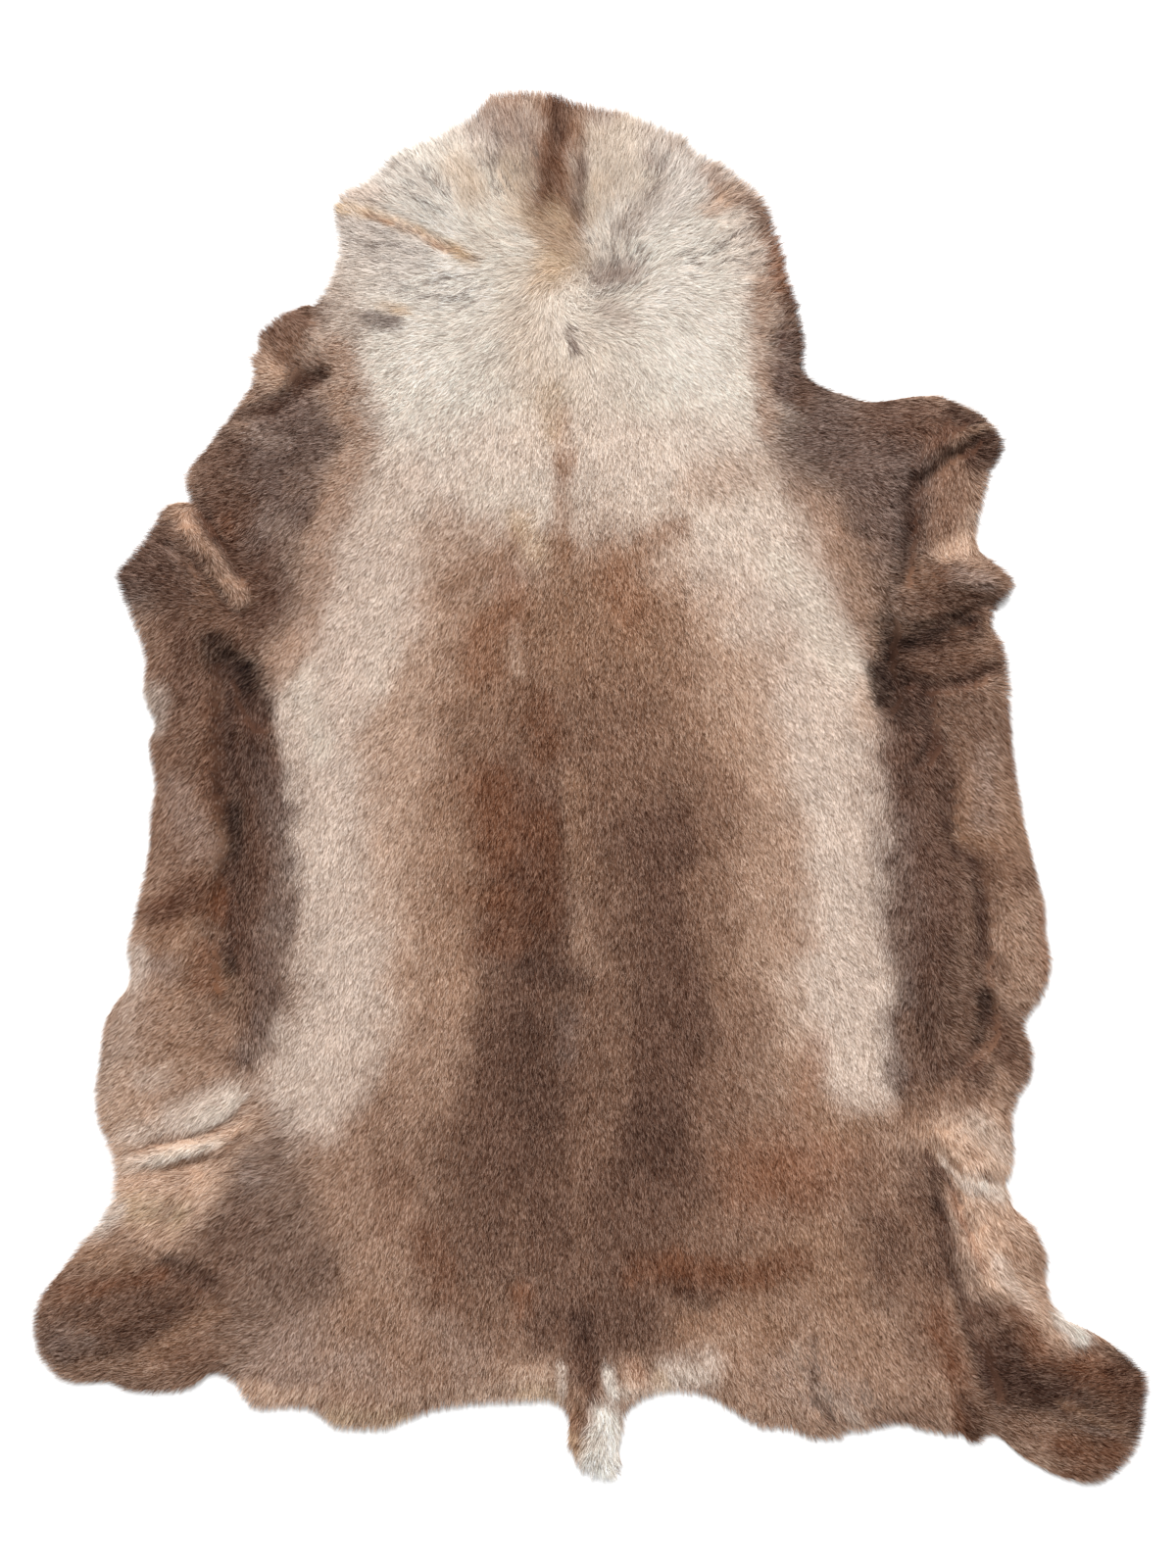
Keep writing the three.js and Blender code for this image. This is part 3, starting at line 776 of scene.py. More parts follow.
STROKES["right flap"] = [
    ("brown", 0.9, 16, 296, 190, 316, 190),
    ("umber", 0.9, 18, 325, 188, 375, 188),
    ("ash", 0.5, 9, 335, 196, 365, 192),
    ("tan", 0.6, 8, 372, 202, 388, 188),
    ("umber", 1.0, 15, 305, 166, 370, 160),
    ("umber", 1.0, 22, 285, 120, 335, 118),
    ("brown", 0.9, 17, 348, 124, 376, 124),
    ("tan", 0.7, 9, 362, 152, 374, 142),
    # Painted shade: these three strokes lie in the creases under and below the right flap.
    ("dark", 0.9, 15, 285, 140, 325, 138, 346, 147),
    ("black", 1.0, 9, 290, 138, 320, 143, 344, 158),
    ("dark", 1.0, 8, 285, 97, 314, 92, 339, 97, 368, 110),
]
STROKES["right belly"] = [
    ("umber", 0.7, 34, 340, 80, 350, 20),
    ("tan", 0.9, 30, 362, 10, 374, -60),
    ("slate", 1.0, 25, 290, 60, 287, 0, 299, -70, 307, -140, 294, -190, 296, -255),
    ("umber", 0.8, 14, 282, 30, 284, -10),
    ("umber", 0.9, 24, 312, 10, 316, -120, 320, -235),
    ("brown", 0.6, 12, 292, -215, 296, -245),
    ("umber", 0.9, 20, 290, 90, 292, 40),
    ("dark", 0.5, 15, 305, -140, 312, -225),
    # Painted shade: these five strokes lie in the right hollow and down the front of the right valley.
    ("black", 1.0, 13, 274, 150, 269, 112),
    ("black", 0.9, 10, 264, 112, 267, 86),
    ("black", 0.9, 14, 283, 104, 284, 76),
    ("dark", 0.9, 14, 300, 92, 314, 76),
    ("dark", 0.9, 8, 308, 96, 310, 60, 314, 42, 302, 28, 289, 9),
    ("ash", 0.6, 13, 362, 34, 364, -26),
    ("chestnut", 0.6, 8, 384, 70, 390, 20),
    ("brown", 0.9, 16, 380, -66, 392, -84),
    ("umber", 0.9, 17, 346, -66, 352, -90, 358, -120, 358, -170, 350, -250),
    # Painted shade down the right valley.
    ("dark", 1.0, 7, 325, 0, 328, -30, 334, -50, 352, -72, 359, -112, 362, -150),
    ("fawn", 0.5, 16, 400, -108, 404, -160),
    ("rust", 0.4, 6, 412, -110, 416, -170),
    # Painted shade in the rear end of the right valley.
    ("black", 1.0, 11, 360, -192, 363, -224),
    ("brown", 1.0, 18, 382, -222, 392, -255),
    ("umber", 0.7, 14, 374, -212, 380, -238),
    ("umber", 0.9, 16, 300, -272, 345, -262),
    ("dark", 0.5, 12, 315, -262, 342, -256),
    ("fawn", 0.9, 14, 360, -290, 380, -302),
    ("brown", 0.9, 18, 300, -292, 342, -286),
]
STROKES["left hind leg"] = [
    ("peach", 1.0, 34, -420, -330, -380, -345, -345, -330),
    ("peach", 1.0, 26, -415, -368, -372, -374),
    ("ochre", 0.8, 15, -416, -384, -384, -388),
    ("fawn", 0.8, 20, -445, -412, -385, -418),
    ("peach", 0.6, 10, -415, -404, -392, -406),
    ("oat", 1.0, 10, -437, -380, -454, -402),
    ("fawn", 0.9, 13, -464, -420, -480, -448),
    ("fawn", 0.7, 8, -372, -350, -395, -395),
    ("sand", 0.9, 12, -436, -300, -400, -300),
    ("oat", 0.9, 14, -380, -300, -356, -290, -330, -278),
    # Painted highlight along the left groin ridge.
    ("straw", 0.8, 12, -366, -303, -345, -297, -328, -286),
    ("oat", 0.7, 10, -430, -316, -385, -310),
    # Painted shade in the left groin crease.
    ("fawn", 0.9, 4, -432, -337, -400, -324, -350, -315, -325, -299, -312, -284),
    # Painted highlight along the left groin pleat.
    ("straw", 0.8, 7, -422, -341, -385, -334, -345, -323),
    # Painted shade in the low left groin crease.
    ("tan", 0.8, 3.5, -390, -349, -372, -339, -355, -334, -335, -334),
    ("brown", 0.9, 5, -340, -336, -322, -318),
    ("umber", 0.6, 16, -316, -340, -328, -390, -358, -430),
    ("ash", 0.6, 5, -318, -335, -312, -362),
    ("brown", 1.0, 45, -470, -480, -420, -478, -380, -470),
    ("umber", 0.5, 26, -430, -495, -380, -465),
    ("tan", 0.7, 12, -475, -425, -425, -435),
    # Painted shade in the crease at the left hock.
    ("dark", 0.7, 12, -385, -434, -352, -452),
    ("chestnut", 0.6, 8, -480, -462, -440, -455, -395, -444),
    ("dark", 0.5, 10, -500, -486, -460, -478, -405, -466),
    ("dark", 0.6, 12, -475, -520, -425, -503, -385, -480),
    ("ash", 0.4, 10, -478, -498, -460, -506),
    ("slate", 0.7, 12, -496, -504, -482, -514),
    ("chestnut", 0.6, 13, -386, -518, -354, -520),
    ("tan", 0.6, 10, -345, -480, -405, -520),
    ("brown", 0.9, 11, -460, -538, -400, -545, -345, -528),
]
STROKES["right hind leg"] = [
    ("peach", 1.0, 28, 350, -322, 358, -355, 378, -420, 395, -470),
    ("taupe", 0.6, 14, 350, -308, 374, -332),
    ("tan", 0.5, 12, 306, -306, 316, -320),
    ("cream", 0.8, 10, 348, -358, 374, -368),
    ("oat", 0.6, 4, 322, -336, 333, -351, 346, -364),
    # Painted shade in the inner right groin crease.
    ("umber", 1.0, 4, 309, -334, 319, -346, 331, -365, 337, -378),
    ("tan", 0.8, 4, 314, -352, 322, -372, 326, -390),
    # Painted shade in the outer right groin crease.
    ("tan", 0.8, 3.5, 330, -338, 340, -349, 352, -352, 382, -359),
    ("tan", 0.7, 12, 388, -420, 410, -434),
    ("fawn", 0.5, 20, 360, -388, 394, -424),
    ("oat", 0.6, 8, 372, -430, 400, -475),
    ("cream", 0.9, 9, 430, -486, 446, -500),
    ("umber", 0.75, 16, 302, -340, 308, -390, 320, -445),
    ("peach", 0.7, 8, 336, -394, 346, -418),
    ("slate", 0.4, 12, 325, -372, 338, -420, 352, -470),
    # Painted shade down the right leg valley.
    ("dark", 0.9, 6, 312, -348, 318, -382, 322, -411, 332, -446, 352, -501, 370, -556),
    ("rust", 0.5, 4, 330, -366, 344, -405, 360, -440),
    ("umber", 1.0, 22, 366, -482, 376, -530),
    ("rust", 0.5, 7, 394, -482, 410, -510),
    ("dark", 1.0, 20, 376, -530, 405, -546, 428, -550),
    ("dark", 0.9, 17, 364, -568, 402, -564),
    ("chestnut", 0.7, 11, 385, -478, 405, -515, 440, -535),
    ("dark", 0.8, 34, 440, -555, 470, -562),
    ("chestnut", 0.8, 20, 455, -525, 500, -555),
    ("dark", 0.6, 14, 482, -534, 506, -562, 504, -592),
    ("black", 0.6, 5, 445, -510, 475, -512, 500, -530),
    ("tan", 0.5, 4, 430, -560, 462, -576, 490, -584),
    ("ash", 0.5, 3, 452, -582, 482, -592),
    ("umber", 0.5, 8, 498, -568, 502, -590),
    ("brown", 0.9, 20, 385, -592, 425, -608, 460, -622),
    ("chestnut", 0.8, 15, 440, -602, 474, -600),
    ("fawn", 0.7, 7, 395, -606, 430, -622),
    ("chestnut", 0.6, 10, 440, -632, 480, -610),
    ("brown", 0.6, 7, 350, -545, 365, -585),
]
STROKES["tail"] = [
    ("oat", 0.8, 17, 76, -538, 108, -530),
    ("straw", 0.4, 8, 68, -542, 98, -538),
    ("peach", 0.8, 9, 38, -525, 44, -548),
    ("rust", 0.4, 7, 36, -522, 48, -540),
    ("ochre", 0.7, 7, 62, -540, 66, -552),
    ("straw", 0.8, 7, 32, -550, 60, -548),
    ("peach", 0.6, 8, 42, -542, 58, -544),
    ("dark", 0.9, 13, -4, -485, 0, -522),
    ("umber", 1.0, 13, -6, -520, -5, -548),
    ("tan", 1.0, 9, -13, -552, -15, -584),
    ("ochre", 0.9, 7, -16, -594, -12, -606),
    ("rust", 0.4, 6, -16, -575, -14, -602),
    ("brown", 0.7, 5, -8, -548, -8, -588),
    ("cream", 0.8, 5.5, 17, -532, 21, -552),
    ("white", 1.0, 15, 13, -574, 15, -602, 12, -635),
    ("cream", 1.0, 9, 0, -588, 0, -606),
    ("white", 1.0, 12, -4, -622, 10, -630),
    ("oat", 0.9, 5, -26, -530, -27, -552),
]
STROKES["neck, details"] = [
    ("ash", 0.75, 28, -74, 620, -60, 592),
    ("fawn", 0.8, 9, -92, 637, -45, 638),
    ("tan", 0.35, 16, -66, 612, -56, 590),
    ("ochre", 0.6, 18, -66, 562, -58, 530),
    ("ochre", 0.3, 28, 18, 600, 32, 562),
    ("ash", 0.8, 9, -6, 622, 12, 616),
    ("tan", 0.7, 4, -15, 630, 32, 622),
    ("tan", 1.0, 20, -24, 628, -22, 600, -32, 572, -38, 542),
    ("tan", 0.9, 16, -22, 560, -20, 520),
    ("chestnut", 1.0, 13, -25, 630, -25, 600, -34, 572, -39, 545, -44, 530),
    ("dark", 0.9, 9, -26, 628, -29, 596),
    ("dark", 0.5, 7, -30, 590, -40, 548),
    ("umber", 0.7, 6, -6, 576, -6, 552, -12, 528),
    ("tan", 0.6, 8, -10, 612, -8, 590),
    ("ochre", 0.8, 22, -42, 515, -28, 486),
    ("tan", 0.4, 11, -48, 514, -30, 500),
    ("tan", 0.3, 8, -16, 512, -14, 490),
    ("ochre", 0.6, 13, -40, 482, -44, 462),
    ("ochre", 0.5, 10, -40, 366, -38, 325),
    ("oat", 0.8, 9, -234, 544, -200, 546),
    ("ochre", 0.9, 6, -238, 534, -195, 527, -165, 514, -128, 494, -112, 483),
    # Painted shade in the neck fold.
    ("tan", 0.8, 3.5, -205, 527, -165, 512, -130, 492),
    ("ochre", 0.7, 6, -192, 443, -172, 438),
    ("slate", 0.9, 7.5, -206, 431, -180, 427),
    ("ash", 0.6, 6, 52, 578, 66, 570),
    ("taupe", 0.6, 10, 50, 604, 72, 598),
    ("taupe", 0.6, 10, 30, 512, 50, 535, 66, 548),
    ("ash", 0.8, 9, 4, 470, 36, 474),
    ("taupe", 0.5, 8, 12, 440, 32, 430),
    ("slate", 0.8, 4, -19, 420, -14, 402),
    ("tan", 0.7, 10, 112, 566, 124, 545),
    ("sand", 0.8, 10, 110, 530, 132, 552),
    ("brown", 0.8, 8, 142, 546, 160, 528),
    ("brown", 1.0, 12, 162, 525, 176, 490, 182, 455),
    ("rust", 0.5, 8, 168, 500, 174, 465),
    ("umber", 1.0, 15, 189, 450, 191, 410, 188, 370),
    ("fawn", 0.8, 11, 156, 460, 160, 400, 162, 330),
    ("slate", 1.0, 11, 174, 415, 175, 365),
    ("dark", 0.7, 8, 195, 430, 198, 395, 200, 375, 218, 364),
]


def linear(channel):
    """Linear light from an eight-bit channel."""
    share = channel / 255
    return share / 12.92 if share <= 0.04045 else ((share + 0.055) / 1.055) ** 2.4


def coat_colour(x, y):
    """Linear colour of the coat at each x, y, in millimetres."""
    palette = {name: np.array([linear(c) for c in tone]) for name, tone in TONES.items()}
    waver_x = WAVER * clouds(x, y, WAVER_ACROSS)
    waver_y = WAVER * clouds(x, y, WAVER_ALONG)
    colour = np.tile(palette[BASE_TONE], (len(x), 1))
    broken = cloud(x, y, *BROKEN)
    for tone, strength, reach, *points in [stroke for area in STROKES.values() for stroke in area]:
        full = min(1.0, reach / BROAD)
        points = np.reshape(points, (-1, 2))
        margin = 2 * (reach + WAVER)
        low, high = points.min(0) - margin, points.max(0) + margin
        near = np.flatnonzero((x > low[0]) & (x < high[0]) & (y > low[1]) & (y < high[1]))
        distance, _ = near_line(x[near] + waver_x[near] * full, y[near] + waver_y[near] * full, points)
        share = strength * faded(distance, reach, STROKE_FADE)
        share *= 1 + BREAK_DEPTH * (1 - full) * (broken[near] - BREAK_LEVEL)
        colour[near] += (palette[tone] - colour[near]) * share[:, None]
    return colour * (1 + clouds(x, y, PATCHES)[:, None])


def streaks(x, y, lie, size, seed):
    """Soft streaks about 0 that run with the hair: clouds of the given size, smeared along its lie."""
    steps = STREAK_LENGTH * np.linspace(-0.5, 0.5, STREAK_STEPS)
    smeared = sum(cloud(x + step * lie[:, 0], y + step * lie[:, 1], size, seed) for step in steps)
    return 2 * smeared / len(steps)


def set_attribute(mesh, name, kind, values):
    field_name = {"FLOAT_COLOR": "color", "FLOAT_VECTOR": "vector"}.get(kind, "value")
    attribute = mesh.attributes.new(name, kind, "POINT")
    attribute.data.foreach_set(field_name, np.asarray(values, np.float32).ravel())


def with_alpha(colours):
    return np.hstack((colours, np.ones((len(colours), 1))))


# ---------------------------------------------------------------------------------------------------
# Underfur: the dense soft wool that stands on the skin and holds the longer hair up. Its colour is the
# coat's, darkened in fine spots with painted shade from the hair over it.
COAT_SPACING = 5.7
COAT_AT_EDGE = 6.0  # height of the coat's top past the solid
LEAST_COAT = 3.0
UNDERFUR_SHARE = 0.75  # of the coat's depth
UNDERFUR_EDGE = (-4.5, 15.0)  # where, inwards from the cut edge, it grows to its full depth
UNDERFUR_HEM = 0.5  # how far its hem reaches into the skin
UNDERFUR_TUFTS = ((0.06, 13, 5), (0.06, 31, 6))  # clouds, as (depth, size, seed)
# Painted shade: how far the underfur is darkened, as if shaded by the hair over it.
UNDERFUR_PAINTED_SHADE = (0.74, 0.68, 0.63, 1)
UNDERFUR_SHINE = 0.02
WOOL_ROUGHNESS = 0.95
WOOL_STARTS = 0.3
WOOL = {"scale": 700.0, "detail": 3.0}
WOOL_RELIEF = {"strength": 0.6, "height": 0.001}

wool_points, wool_faces = flat_mesh(skin_edge, COAT_SPACING)
wool_floor = skin_height(wool_points) + SKIN_THICKNESS
coat_top = cast(wool_points, FAR_OVER, -1, COAT_AT_EDGE) + along_lines(*wool_points.T, FOLDS)
coat_top = np.maximum(coat_top, wool_floor + LEAST_COAT)
inwards = ease(from_edge(*wool_points.T, skin_edge), *UNDERFUR_EDGE)
tufted = clouds(*wool_points.T, UNDERFUR_TUFTS, 1)
wool_height = wool_floor + (coat_top - wool_floor) * UNDERFUR_SHARE * inwards * tufted
wool_total = len(wool_points)
wool_rim = rim_of(wool_faces)
hem = {a: wool_total + i for i, (a, b) in enumerate(wool_rim)}
hem_points = [(*wool_points[a], wool_floor[a] - UNDERFUR_HEM) for a in hem]
wool_at = np.vstack((np.hstack((wool_points, wool_height[:, None])), hem_points)) * MM
wool_mesh = bpy.data.meshes.new("underfur")
wool_mesh.from_pydata(wool_at.tolist(), [], wool_faces + [(b, a, hem[a], hem[b]) for a, b in wool_rim])
wool_mesh.shade_smooth()
set_attribute(wool_mesh, "coat", "FLOAT_COLOR", with_alpha(coat_colour(*(wool_at[:, :2] / MM).T)))
underfur = bpy.data.objects.new("underfur", wool_mesh)
scene.collection.objects.link(underfur)

wool, tree, shader = new_material("underfur wool", WOOL_ROUGHNESS)
coat = Socket.of(tree, "ShaderNodeAttribute", {"attribute_name": "coat"}, output="Color")
strands = noise(tree, **WOOL)
# Painted shade: the coat's colour darkened, mixed in spots into the wool.
painted_shaded_wool = mix_colours(tree, 1.0, coat, UNDERFUR_PAINTED_SHADE, "MULTIPLY")
woolly = mix_colours(tree, (strands - WOOL_STARTS) * SPOT_CONTRAST, painted_shaded_wool, coat)
tree.links.new(woolly.output, shader.inputs["Base Color"])
roughen(tree, shader, strands, **WOOL_RELIEF)
shader.inputs["Specular IOR Level"].default_value = UNDERFUR_SHINE
wool_mesh.materials.append(wool)
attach(underfur, "root")


# ---------------------------------------------------------------------------------------------------
# Coat: the longer winter hair, which lies over the underfur. Each hair is one slim blade. It is grown in
# five lengthwise strips, so that each is a piece of a size the library takes.
HAIRS = 850000
HAIR_WIDTH = 0.7
HAIR_VARIES = (0.7, 1.3)  # least and most of its run and width
RISE_VARIES = (0.55, 1.1)
LEAST_RISE = 1.5
LEAST_HEIGHT = 0.3  # over the table
# One hair, of unit run, width and rise: (along, side, rise) of each corner.
HAIR_CORNERS = [(-0.12, 0.5, -0.25), (-0.12, -0.5, -0.25), (1, 0, 1)]
# Painted shade: each hair is darkened towards its root, where the hairs over it shade it.
HAIR_ROOT_SHADE = (0.70, 0.64, 0.60, 1)
ROOT_FADE = 1.6
HAIR_ROUGHNESS = 0.62
HAIR_SHINE = 0.04
ROOT_SEEN, TIP_SEEN = 0.4, 0.6  # a hair's colour is the coat's between its root and its tip
FOLLICLE_SEED, STREAK_SEED, LOCK_SEED, SMOKE_SEED, OWN_SEED = 11, 41, 51, 61, 71
STRIP_EDGES = (-600, -241, -88, 58, 222, 600)
# Kinds of hair, as (share, power) of the coat's colour. The kind changes from one hair to the next, and in
# streaks that run with the hair.
STRANDS = {"dark": (0.53, 1.5), "middling": (0.87, 1.09), "light": (1.08, 0.93), "pale": (1.22, 0.7)}
STRAND_LIMITS = (-0.7, 0.0, 0.7)
STREAK_WIDTH = 1.5
STREAK_SHARE = 0.45
OWN_SHARE = 1.0
MINGLE = 3.5  # how far hairs of one tone reach among those of the next
LOCK_WIDTH = 5.0
LOCK_PULL = 1.6  # how far the tips of shaggy hair gather sideways into locks
LOCK_LIFT = 1.0
SLEEK = 0.12  # how shaggy the hair of the body is, against that of the neck
SMOKE = (118, 103, 94)
SMOKE_DEPTH = 0.7
SMOKE_STARTS = (0.35, 0.8)
PALEST = 0.93  # no hair is whiter than this
# Where smoky hairs are mixed in, as name: (amount, reach, points).
GRIZZLED = {
    "neck, left front": (0.5, 20, -168, 566, -148, 545),
    "neck, left": (0.5, 28, -205, 500, -165, 480, -125, 462),
    "neck, front": (0.5, 26, -90, 612, -68, 565),
    "neck, right": (0.6, 15, 62, 578, 62, 548, 38, 520),
    "whorl": (0.8, 17, 8, 466, 40, 476),
    "whorl, front": (0.5, 18, 14, 500, 36, 490),
    "neck, low left": (1.3, 11, -204, 430, -180, 427),
    "below the whorl": (0.9, 7, -18, 420, -14, 400),
    "neck, right side": (0.45, 22, 110, 488, 140, 492),
    "neck, all over": (0.2, 120, -130, 480, 70, 480),
    "rump, right hem": (0.7, 26, 190, -530, 240, -560),
}
# How much less the strands of hair differ there.
EVEN = {"neck": (0.3, 130, -110, 510, 60, 480)}
STRAY = 0.3  # most that a hair turns off its neighbours' direction, in radians
STRAY_AT_WHORL = 1.6
WHORL_SIZE = (4, 34)
OUTERMOST = (2, 26)  # where, inwards from the cut edge, the hair's length goes back to that of the body
STANDING = 1.0  # how far hairs stand up from the table, against square to the underfur
LEAN = 0.5  # most that a hair rolls about its own length, in radians
SQUARE = 5.0  # side of the squares of coat whose like hairs share one place on the map
SQUARE_FILL = 0.75  # share of its place that a hair takes
MAP_END = 660.0

lie = lie_of_hair(*wool_points.T)
from_whorl = np.hypot(wool_points[:, 0] - WHORL[0], wool_points[:, 1] - WHORL[1])
stray = STRAY + STRAY_AT_WHORL * (1 - ease(from_whorl, *WHORL_SIZE))
outermost = 1 - ease(from_edge(*wool_points.T, skin_edge), *OUTERMOST)
run = length_of_hair(*wool_points.T, outermost)
upright = np.empty(len(wool_mesh.vertices) * 3, np.float32)
wool_mesh.vertices.foreach_get("normal", upright)
upright = unit(upright.reshape(-1, 3)[:wool_total] + (0, 0, STANDING))

hair_bed = bpy.data.meshes.new("hair bed")
hair_bed.from_pydata(wool_at[:wool_total].tolist(), [], wool_faces)
set_attribute(hair_bed, "lie", "FLOAT_VECTOR", np.hstack((lie, np.zeros((wool_total, 1)))))
set_attribute(hair_bed, "upright", "FLOAT_VECTOR", upright)
set_attribute(hair_bed, "rise", "FLOAT", np.maximum(coat_top - wool_height, LEAST_RISE) * MM)
set_attribute(hair_bed, "run", "FLOAT", run * MM)
set_attribute(hair_bed, "stray", "FLOAT", stray)
bed = bpy.data.objects.new("hair bed", hair_bed)
scene.collection.objects.link(bed)

one_hair_mesh = bpy.data.meshes.new("one hair")
one_hair_mesh.from_pydata(HAIR_CORNERS, [], [(0, 1, 2)])
set_attribute(one_hair_mesh, "along", "FLOAT", [0, 0, 1])
one_hair = bpy.data.objects.new("one hair", one_hair_mesh)
scene.collection.objects.link(one_hair)

hair, tree, shader = new_material("reindeer hair", HAIR_ROUGHNESS)
coat = Socket.of(tree, "ShaderNodeAttribute", {"attribute_name": "coat"}, output="Color")
along = Socket.of(tree, "ShaderNodeAttribute", {"attribute_name": "along"}, output="Fac")
# Painted shade: the hair's colour darkens towards its root.
root_shaded = mix_colours(tree, 1.0, coat, HAIR_ROOT_SHADE, "MULTIPLY")
to_tip = mix_colours(tree, along * ROOT_FADE, root_shaded, coat)
tree.links.new(to_tip.output, shader.inputs["Base Color"])
shader.inputs["Specular IOR Level"].default_value = HAIR_SHINE

growth = bpy.data.node_groups.new("grow the coat", "GeometryNodeTree")
HAIR_INPUTS = (
    ("Underfur", "NodeSocketGeometry"), ("One hair", "NodeSocketObject"), ("From", "NodeSocketFloat"),
    ("To", "NodeSocketFloat"), ("Hairs per square metre", "NodeSocketFloat"),
    ("Hair width", "NodeSocketFloat"), ("Seed", "NodeSocketInt"), ("Hair", "NodeSocketMaterial"),
)
for name, kind in HAIR_INPUTS:
    growth.interface.new_socket(name, in_out="INPUT", socket_type=kind)
growth.interface.new_socket("Coat", in_out="OUTPUT", socket_type="NodeSocketGeometry")
given = Socket.add(growth, "NodeGroupInput")


def given_value(name):
    return Socket(growth, given.outputs[name])


def stored(name, kind):
    settings = {"data_type": kind}
    return Socket.of(growth, "GeometryNodeInputNamedAttribute", settings, {"Name": name}, "Attribute")


def chance(low, high, seed):
    inputs = {2: low, 3: high, "Seed": seed}
    return Socket.of(growth, "FunctionNodeRandomValue", {"data_type": "FLOAT"}, inputs, 1)


position = Socket.of(growth, "GeometryNodeInputPosition")
across = Socket.of(growth, "ShaderNodeSeparateXYZ", None, {0: position}, "X")
in_strip = (across > given_value("From")) * (across < given_value("To"))
strip = Socket.of(growth, "GeometryNodeSeparateGeometry", {"domain": "FACE"},
                  {"Geometry": given_value("Underfur"), "Selection": in_strip})
follicles = Socket.of(growth, "GeometryNodeDistributePointsOnFaces", None, {
    "Mesh": strip, "Density": given_value("Hairs per square metre"), "Seed": given_value("Seed")}, "Points")
facing = Socket.of(growth, "FunctionNodeAxesToRotation", {"primary_axis": "Z", "secondary_axis": "X"}, {
    "Primary Axis": stored("upright", "FLOAT_VECTOR"), "Secondary Axis": stored("lie", "FLOAT_VECTOR")})
own_turn = Socket.of(growth, "ShaderNodeCombineXYZ", None, {
    "X": chance(-LEAN, LEAN, 1), "Y": 0.0, "Z": chance(-1.0, 1.0, 2) * stored("stray", "FLOAT")})
as_turn = Socket.of(growth, "FunctionNodeEulerToRotation", None, {0: own_turn})
turned = Socket.of(growth, "FunctionNodeRotateRotation", {"rotation_space": "LOCAL"},
                   {"Rotation": facing, "Rotate By": as_turn})
size = Socket.of(growth, "ShaderNodeCombineXYZ", None, {
    "X": stored("run", "FLOAT") * chance(*HAIR_VARIES, 3),
    "Y": given_value("Hair width") * chance(*HAIR_VARIES, 4),
    "Z": stored("rise", "FLOAT") * chance(*RISE_VARIES, 5),
})
hair_shape = Socket.of(
    growth, "GeometryNodeObjectInfo", None, {"Object": given_value("One hair")}, "Geometry")
grown = Socket.of(growth, "GeometryNodeInstanceOnPoints", None,
                  {"Points": follicles, "Instance": hair_shape, "Rotation": turned, "Scale": size})
coat_hair = Socket.of(growth, "GeometryNodeRealizeInstances", None, {"Geometry": grown})
coat_hair = Socket.of(growth, "GeometryNodeSetMaterial", None,
                      {"Geometry": coat_hair, "Material": given_value("Hair")})
finished = Socket.add(growth, "NodeGroupOutput")
growth.links.new(coat_hair.output, finished.inputs["Coat"])
sockets = {item.name: item.identifier for item in growth.interface.items_tree if item.in_out == "INPUT"}

hairs_here = HAIRS
bed_area = sum(polygon.area for polygon in hair_bed.polygons)
corners = len(HAIR_CORNERS)


def read(data, name, width):
    values = np.empty(len(data) * width, np.float32)
    data.foreach_get(name, values)
    return values.reshape(-1, corners, width)


def comb(mesh, lies):
    """Gathers the tips into locks, in millimetres, and keeps every hair off the table."""
    hairs = read(mesh.vertices, "co", 3) / MM
    aside = np.stack((-lies[:, 1], lies[:, 0]), -1)
    tips = hairs[:, 2, :2]
    left, right = [streaks(*(tips + step * aside).T, lies, LOCK_WIDTH, LOCK_SEED)
                   for step in (-LOCK_WIDTH / 4, LOCK_WIDTH / 4)]
    shagginess = SLEEK + along_lines(*tips.T, SHAGGY)
    hairs[:, 2, :2] += aside * ((right - left) * shagginess * LOCK_PULL)[:, None]
    hairs[:, 2, 2] += (right + left) / 2 * shagginess * LOCK_LIFT
    hairs[:, :, 2] = np.maximum(hairs[:, :, 2], LEAST_HEIGHT)
    mesh.vertices.foreach_set("co", (hairs * MM).ravel())
    return hairs


def colour_hairs(mesh, hairs, lies, kinds, chances):
    seen = ROOT_SEEN * hairs[:, 0, :2] + TIP_SEEN * hairs[:, 2, :2]
    seen = seen + MINGLE * lies * chances.normal(size=(len(lies), 1))
    share, power = np.array(list(STRANDS.values()))[kinds].T[:, :, None]
    colours = coat_colour(*seen.T)
    contrast = 1 - along_lines(*seen.T, EVEN)[:, None]
    colours += (np.minimum(share * colours**power, PALEST) - colours) * contrast
    grizzle = along_lines(*seen.T, GRIZZLED) * (1 + 2 * streaks(*seen.T, lies, LOCK_WIDTH, SMOKE_SEED))
    smoky = SMOKE_DEPTH * ease((1 - kinds / (len(STRANDS) - 1)) * grizzle, *SMOKE_STARTS)
    smoke = np.array([linear(c) for c in SMOKE])
    colours += (smoke - colours) * smoky[:, None]
    set_attribute(mesh, "coat", "FLOAT_COLOR", with_alpha(np.repeat(colours, corners, 0)))


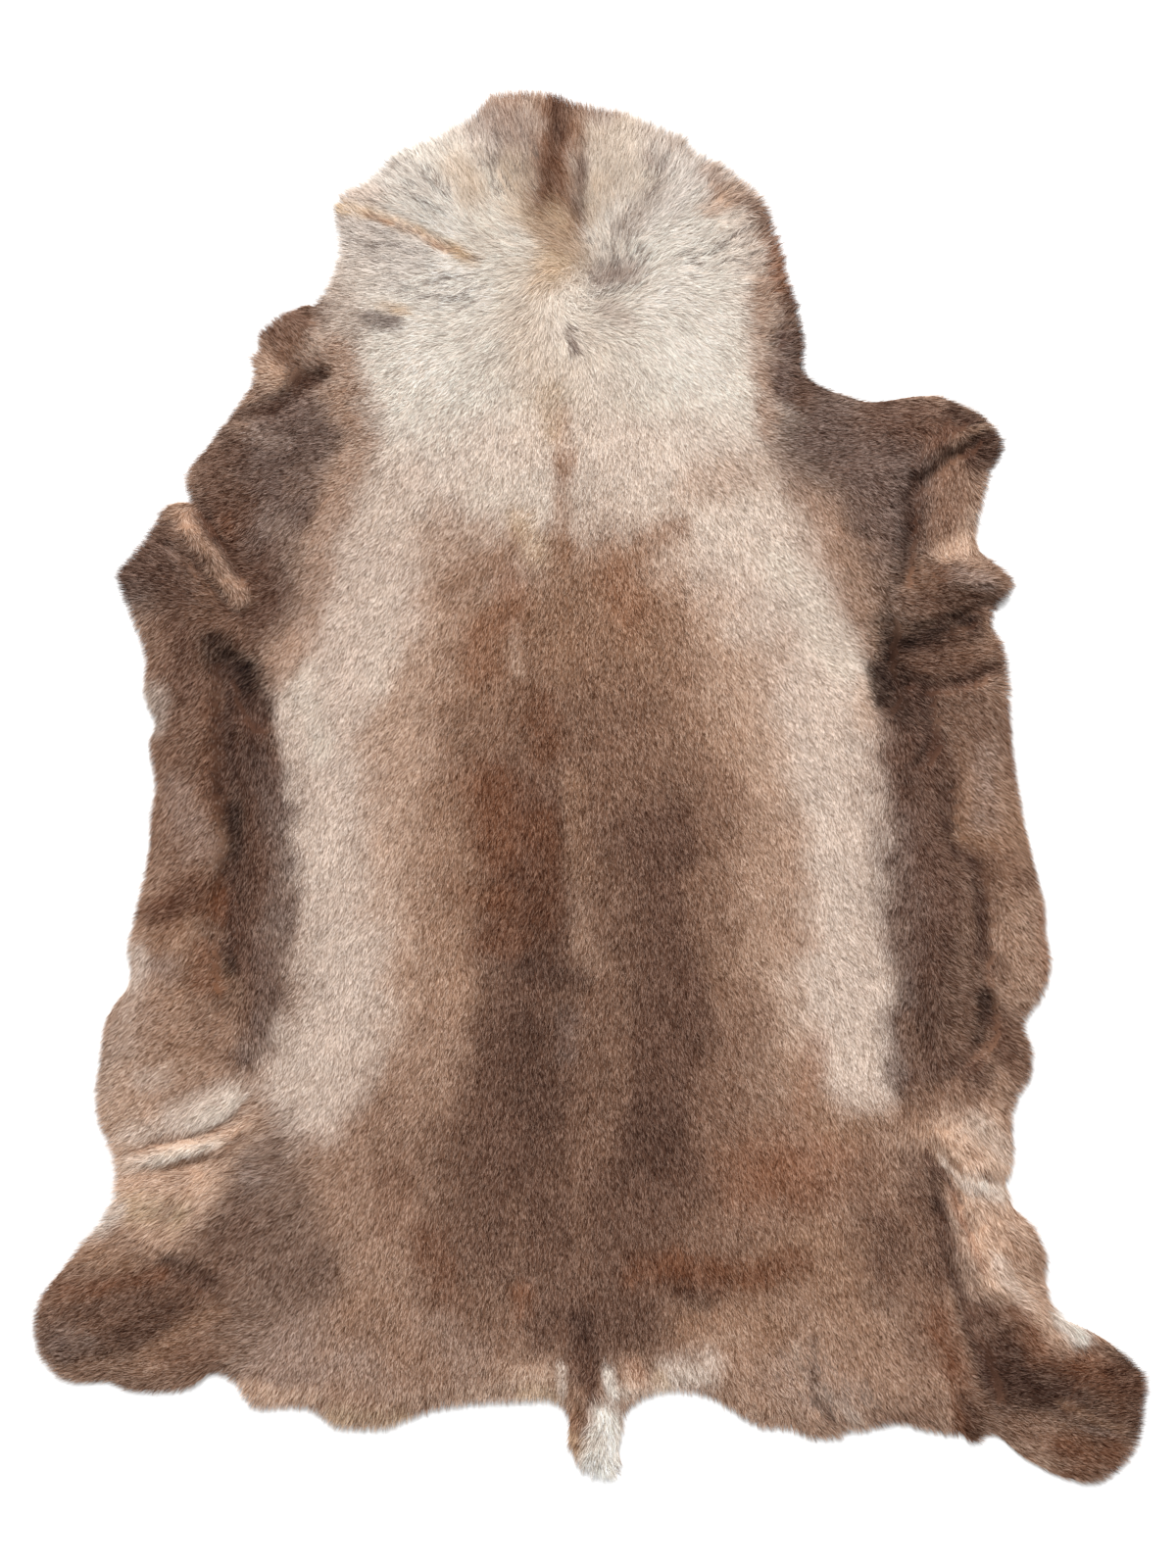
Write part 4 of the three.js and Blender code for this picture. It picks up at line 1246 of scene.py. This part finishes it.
def map_hairs(mesh, hairs, kinds, start, end):
    """Hairs of one kind, from one square of the coat, lie over one another on the map."""
    low, high = np.array((start, -MAP_END)), np.array((end, MAP_END))
    squares = np.ceil((high - low) / SQUARE)
    square = np.clip(np.floor((hairs[:, 0, :2] - low) / SQUARE), 0, squares - 1)
    across = square[:, :1] * len(STRANDS) + kinds[:, None] + 0.5 + SQUARE_FILL * np.array((-0.5, 0.5, 0))
    up = square[:, 1:] + 0.5 + SQUARE_FILL * np.array((-0.5, -0.5, 0.5))
    places = np.stack((across / (squares[0] * len(STRANDS)), up / squares[1]), -1).reshape(-1, 2)
    vertices = np.empty(len(mesh.loops), np.int32)
    mesh.loops.foreach_get("vertex_index", vertices)
    layer = mesh.uv_layers.new(name="OFBake")
    layer.data.foreach_set("uv", places[vertices].astype(np.float32).ravel())


strips = []
for number, (start, end) in enumerate(zip(STRIP_EDGES, STRIP_EDGES[1:])):
    grower = bed.modifiers.new("grow the coat", "NODES")
    grower.node_group = growth
    values = {
        "One hair": one_hair, "From": start * MM, "To": end * MM, "Hair width": HAIR_WIDTH * MM,
        "Hairs per square metre": hairs_here / bed_area, "Seed": FOLLICLE_SEED + number, "Hair": hair,
    }
    for name, value in values.items():
        grower[sockets[name]] = value
    bed.update_tag()
    bpy.context.view_layer.update()
    graph = bpy.context.evaluated_depsgraph_get()
    strip_mesh = bpy.data.meshes.new_from_object(
        bed.evaluated_get(graph), preserve_all_data_layers=True, depsgraph=graph)
    bed.modifiers.remove(grower)
    lies = read(strip_mesh.attributes["lie"].data, "vector", 3)[:, 0, :2]
    hairs = comb(strip_mesh, lies)
    chances = np.random.default_rng(OWN_SEED + number)
    own = chances.normal(size=len(hairs))
    flow = streaks(*hairs[:, 0, :2].T, lies, STREAK_WIDTH, STREAK_SEED)
    kinds = np.digitize(STREAK_SHARE * flow + OWN_SHARE * own, STRAND_LIMITS)
    colour_hairs(strip_mesh, hairs, lies, kinds, chances)
    map_hairs(strip_mesh, hairs, kinds, start, end)
    for name in ("lie", "upright", "rise", "run", "stray"):
        strip_mesh.attributes.remove(strip_mesh.attributes[name])
    piece = bpy.data.objects.new(f"coat_{number + 1}", strip_mesh)
    scene.collection.objects.link(piece)
    strips.append(piece)
bpy.data.objects.remove(bed)
bpy.data.objects.remove(one_hair)
for piece in strips:
    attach(piece, "root")
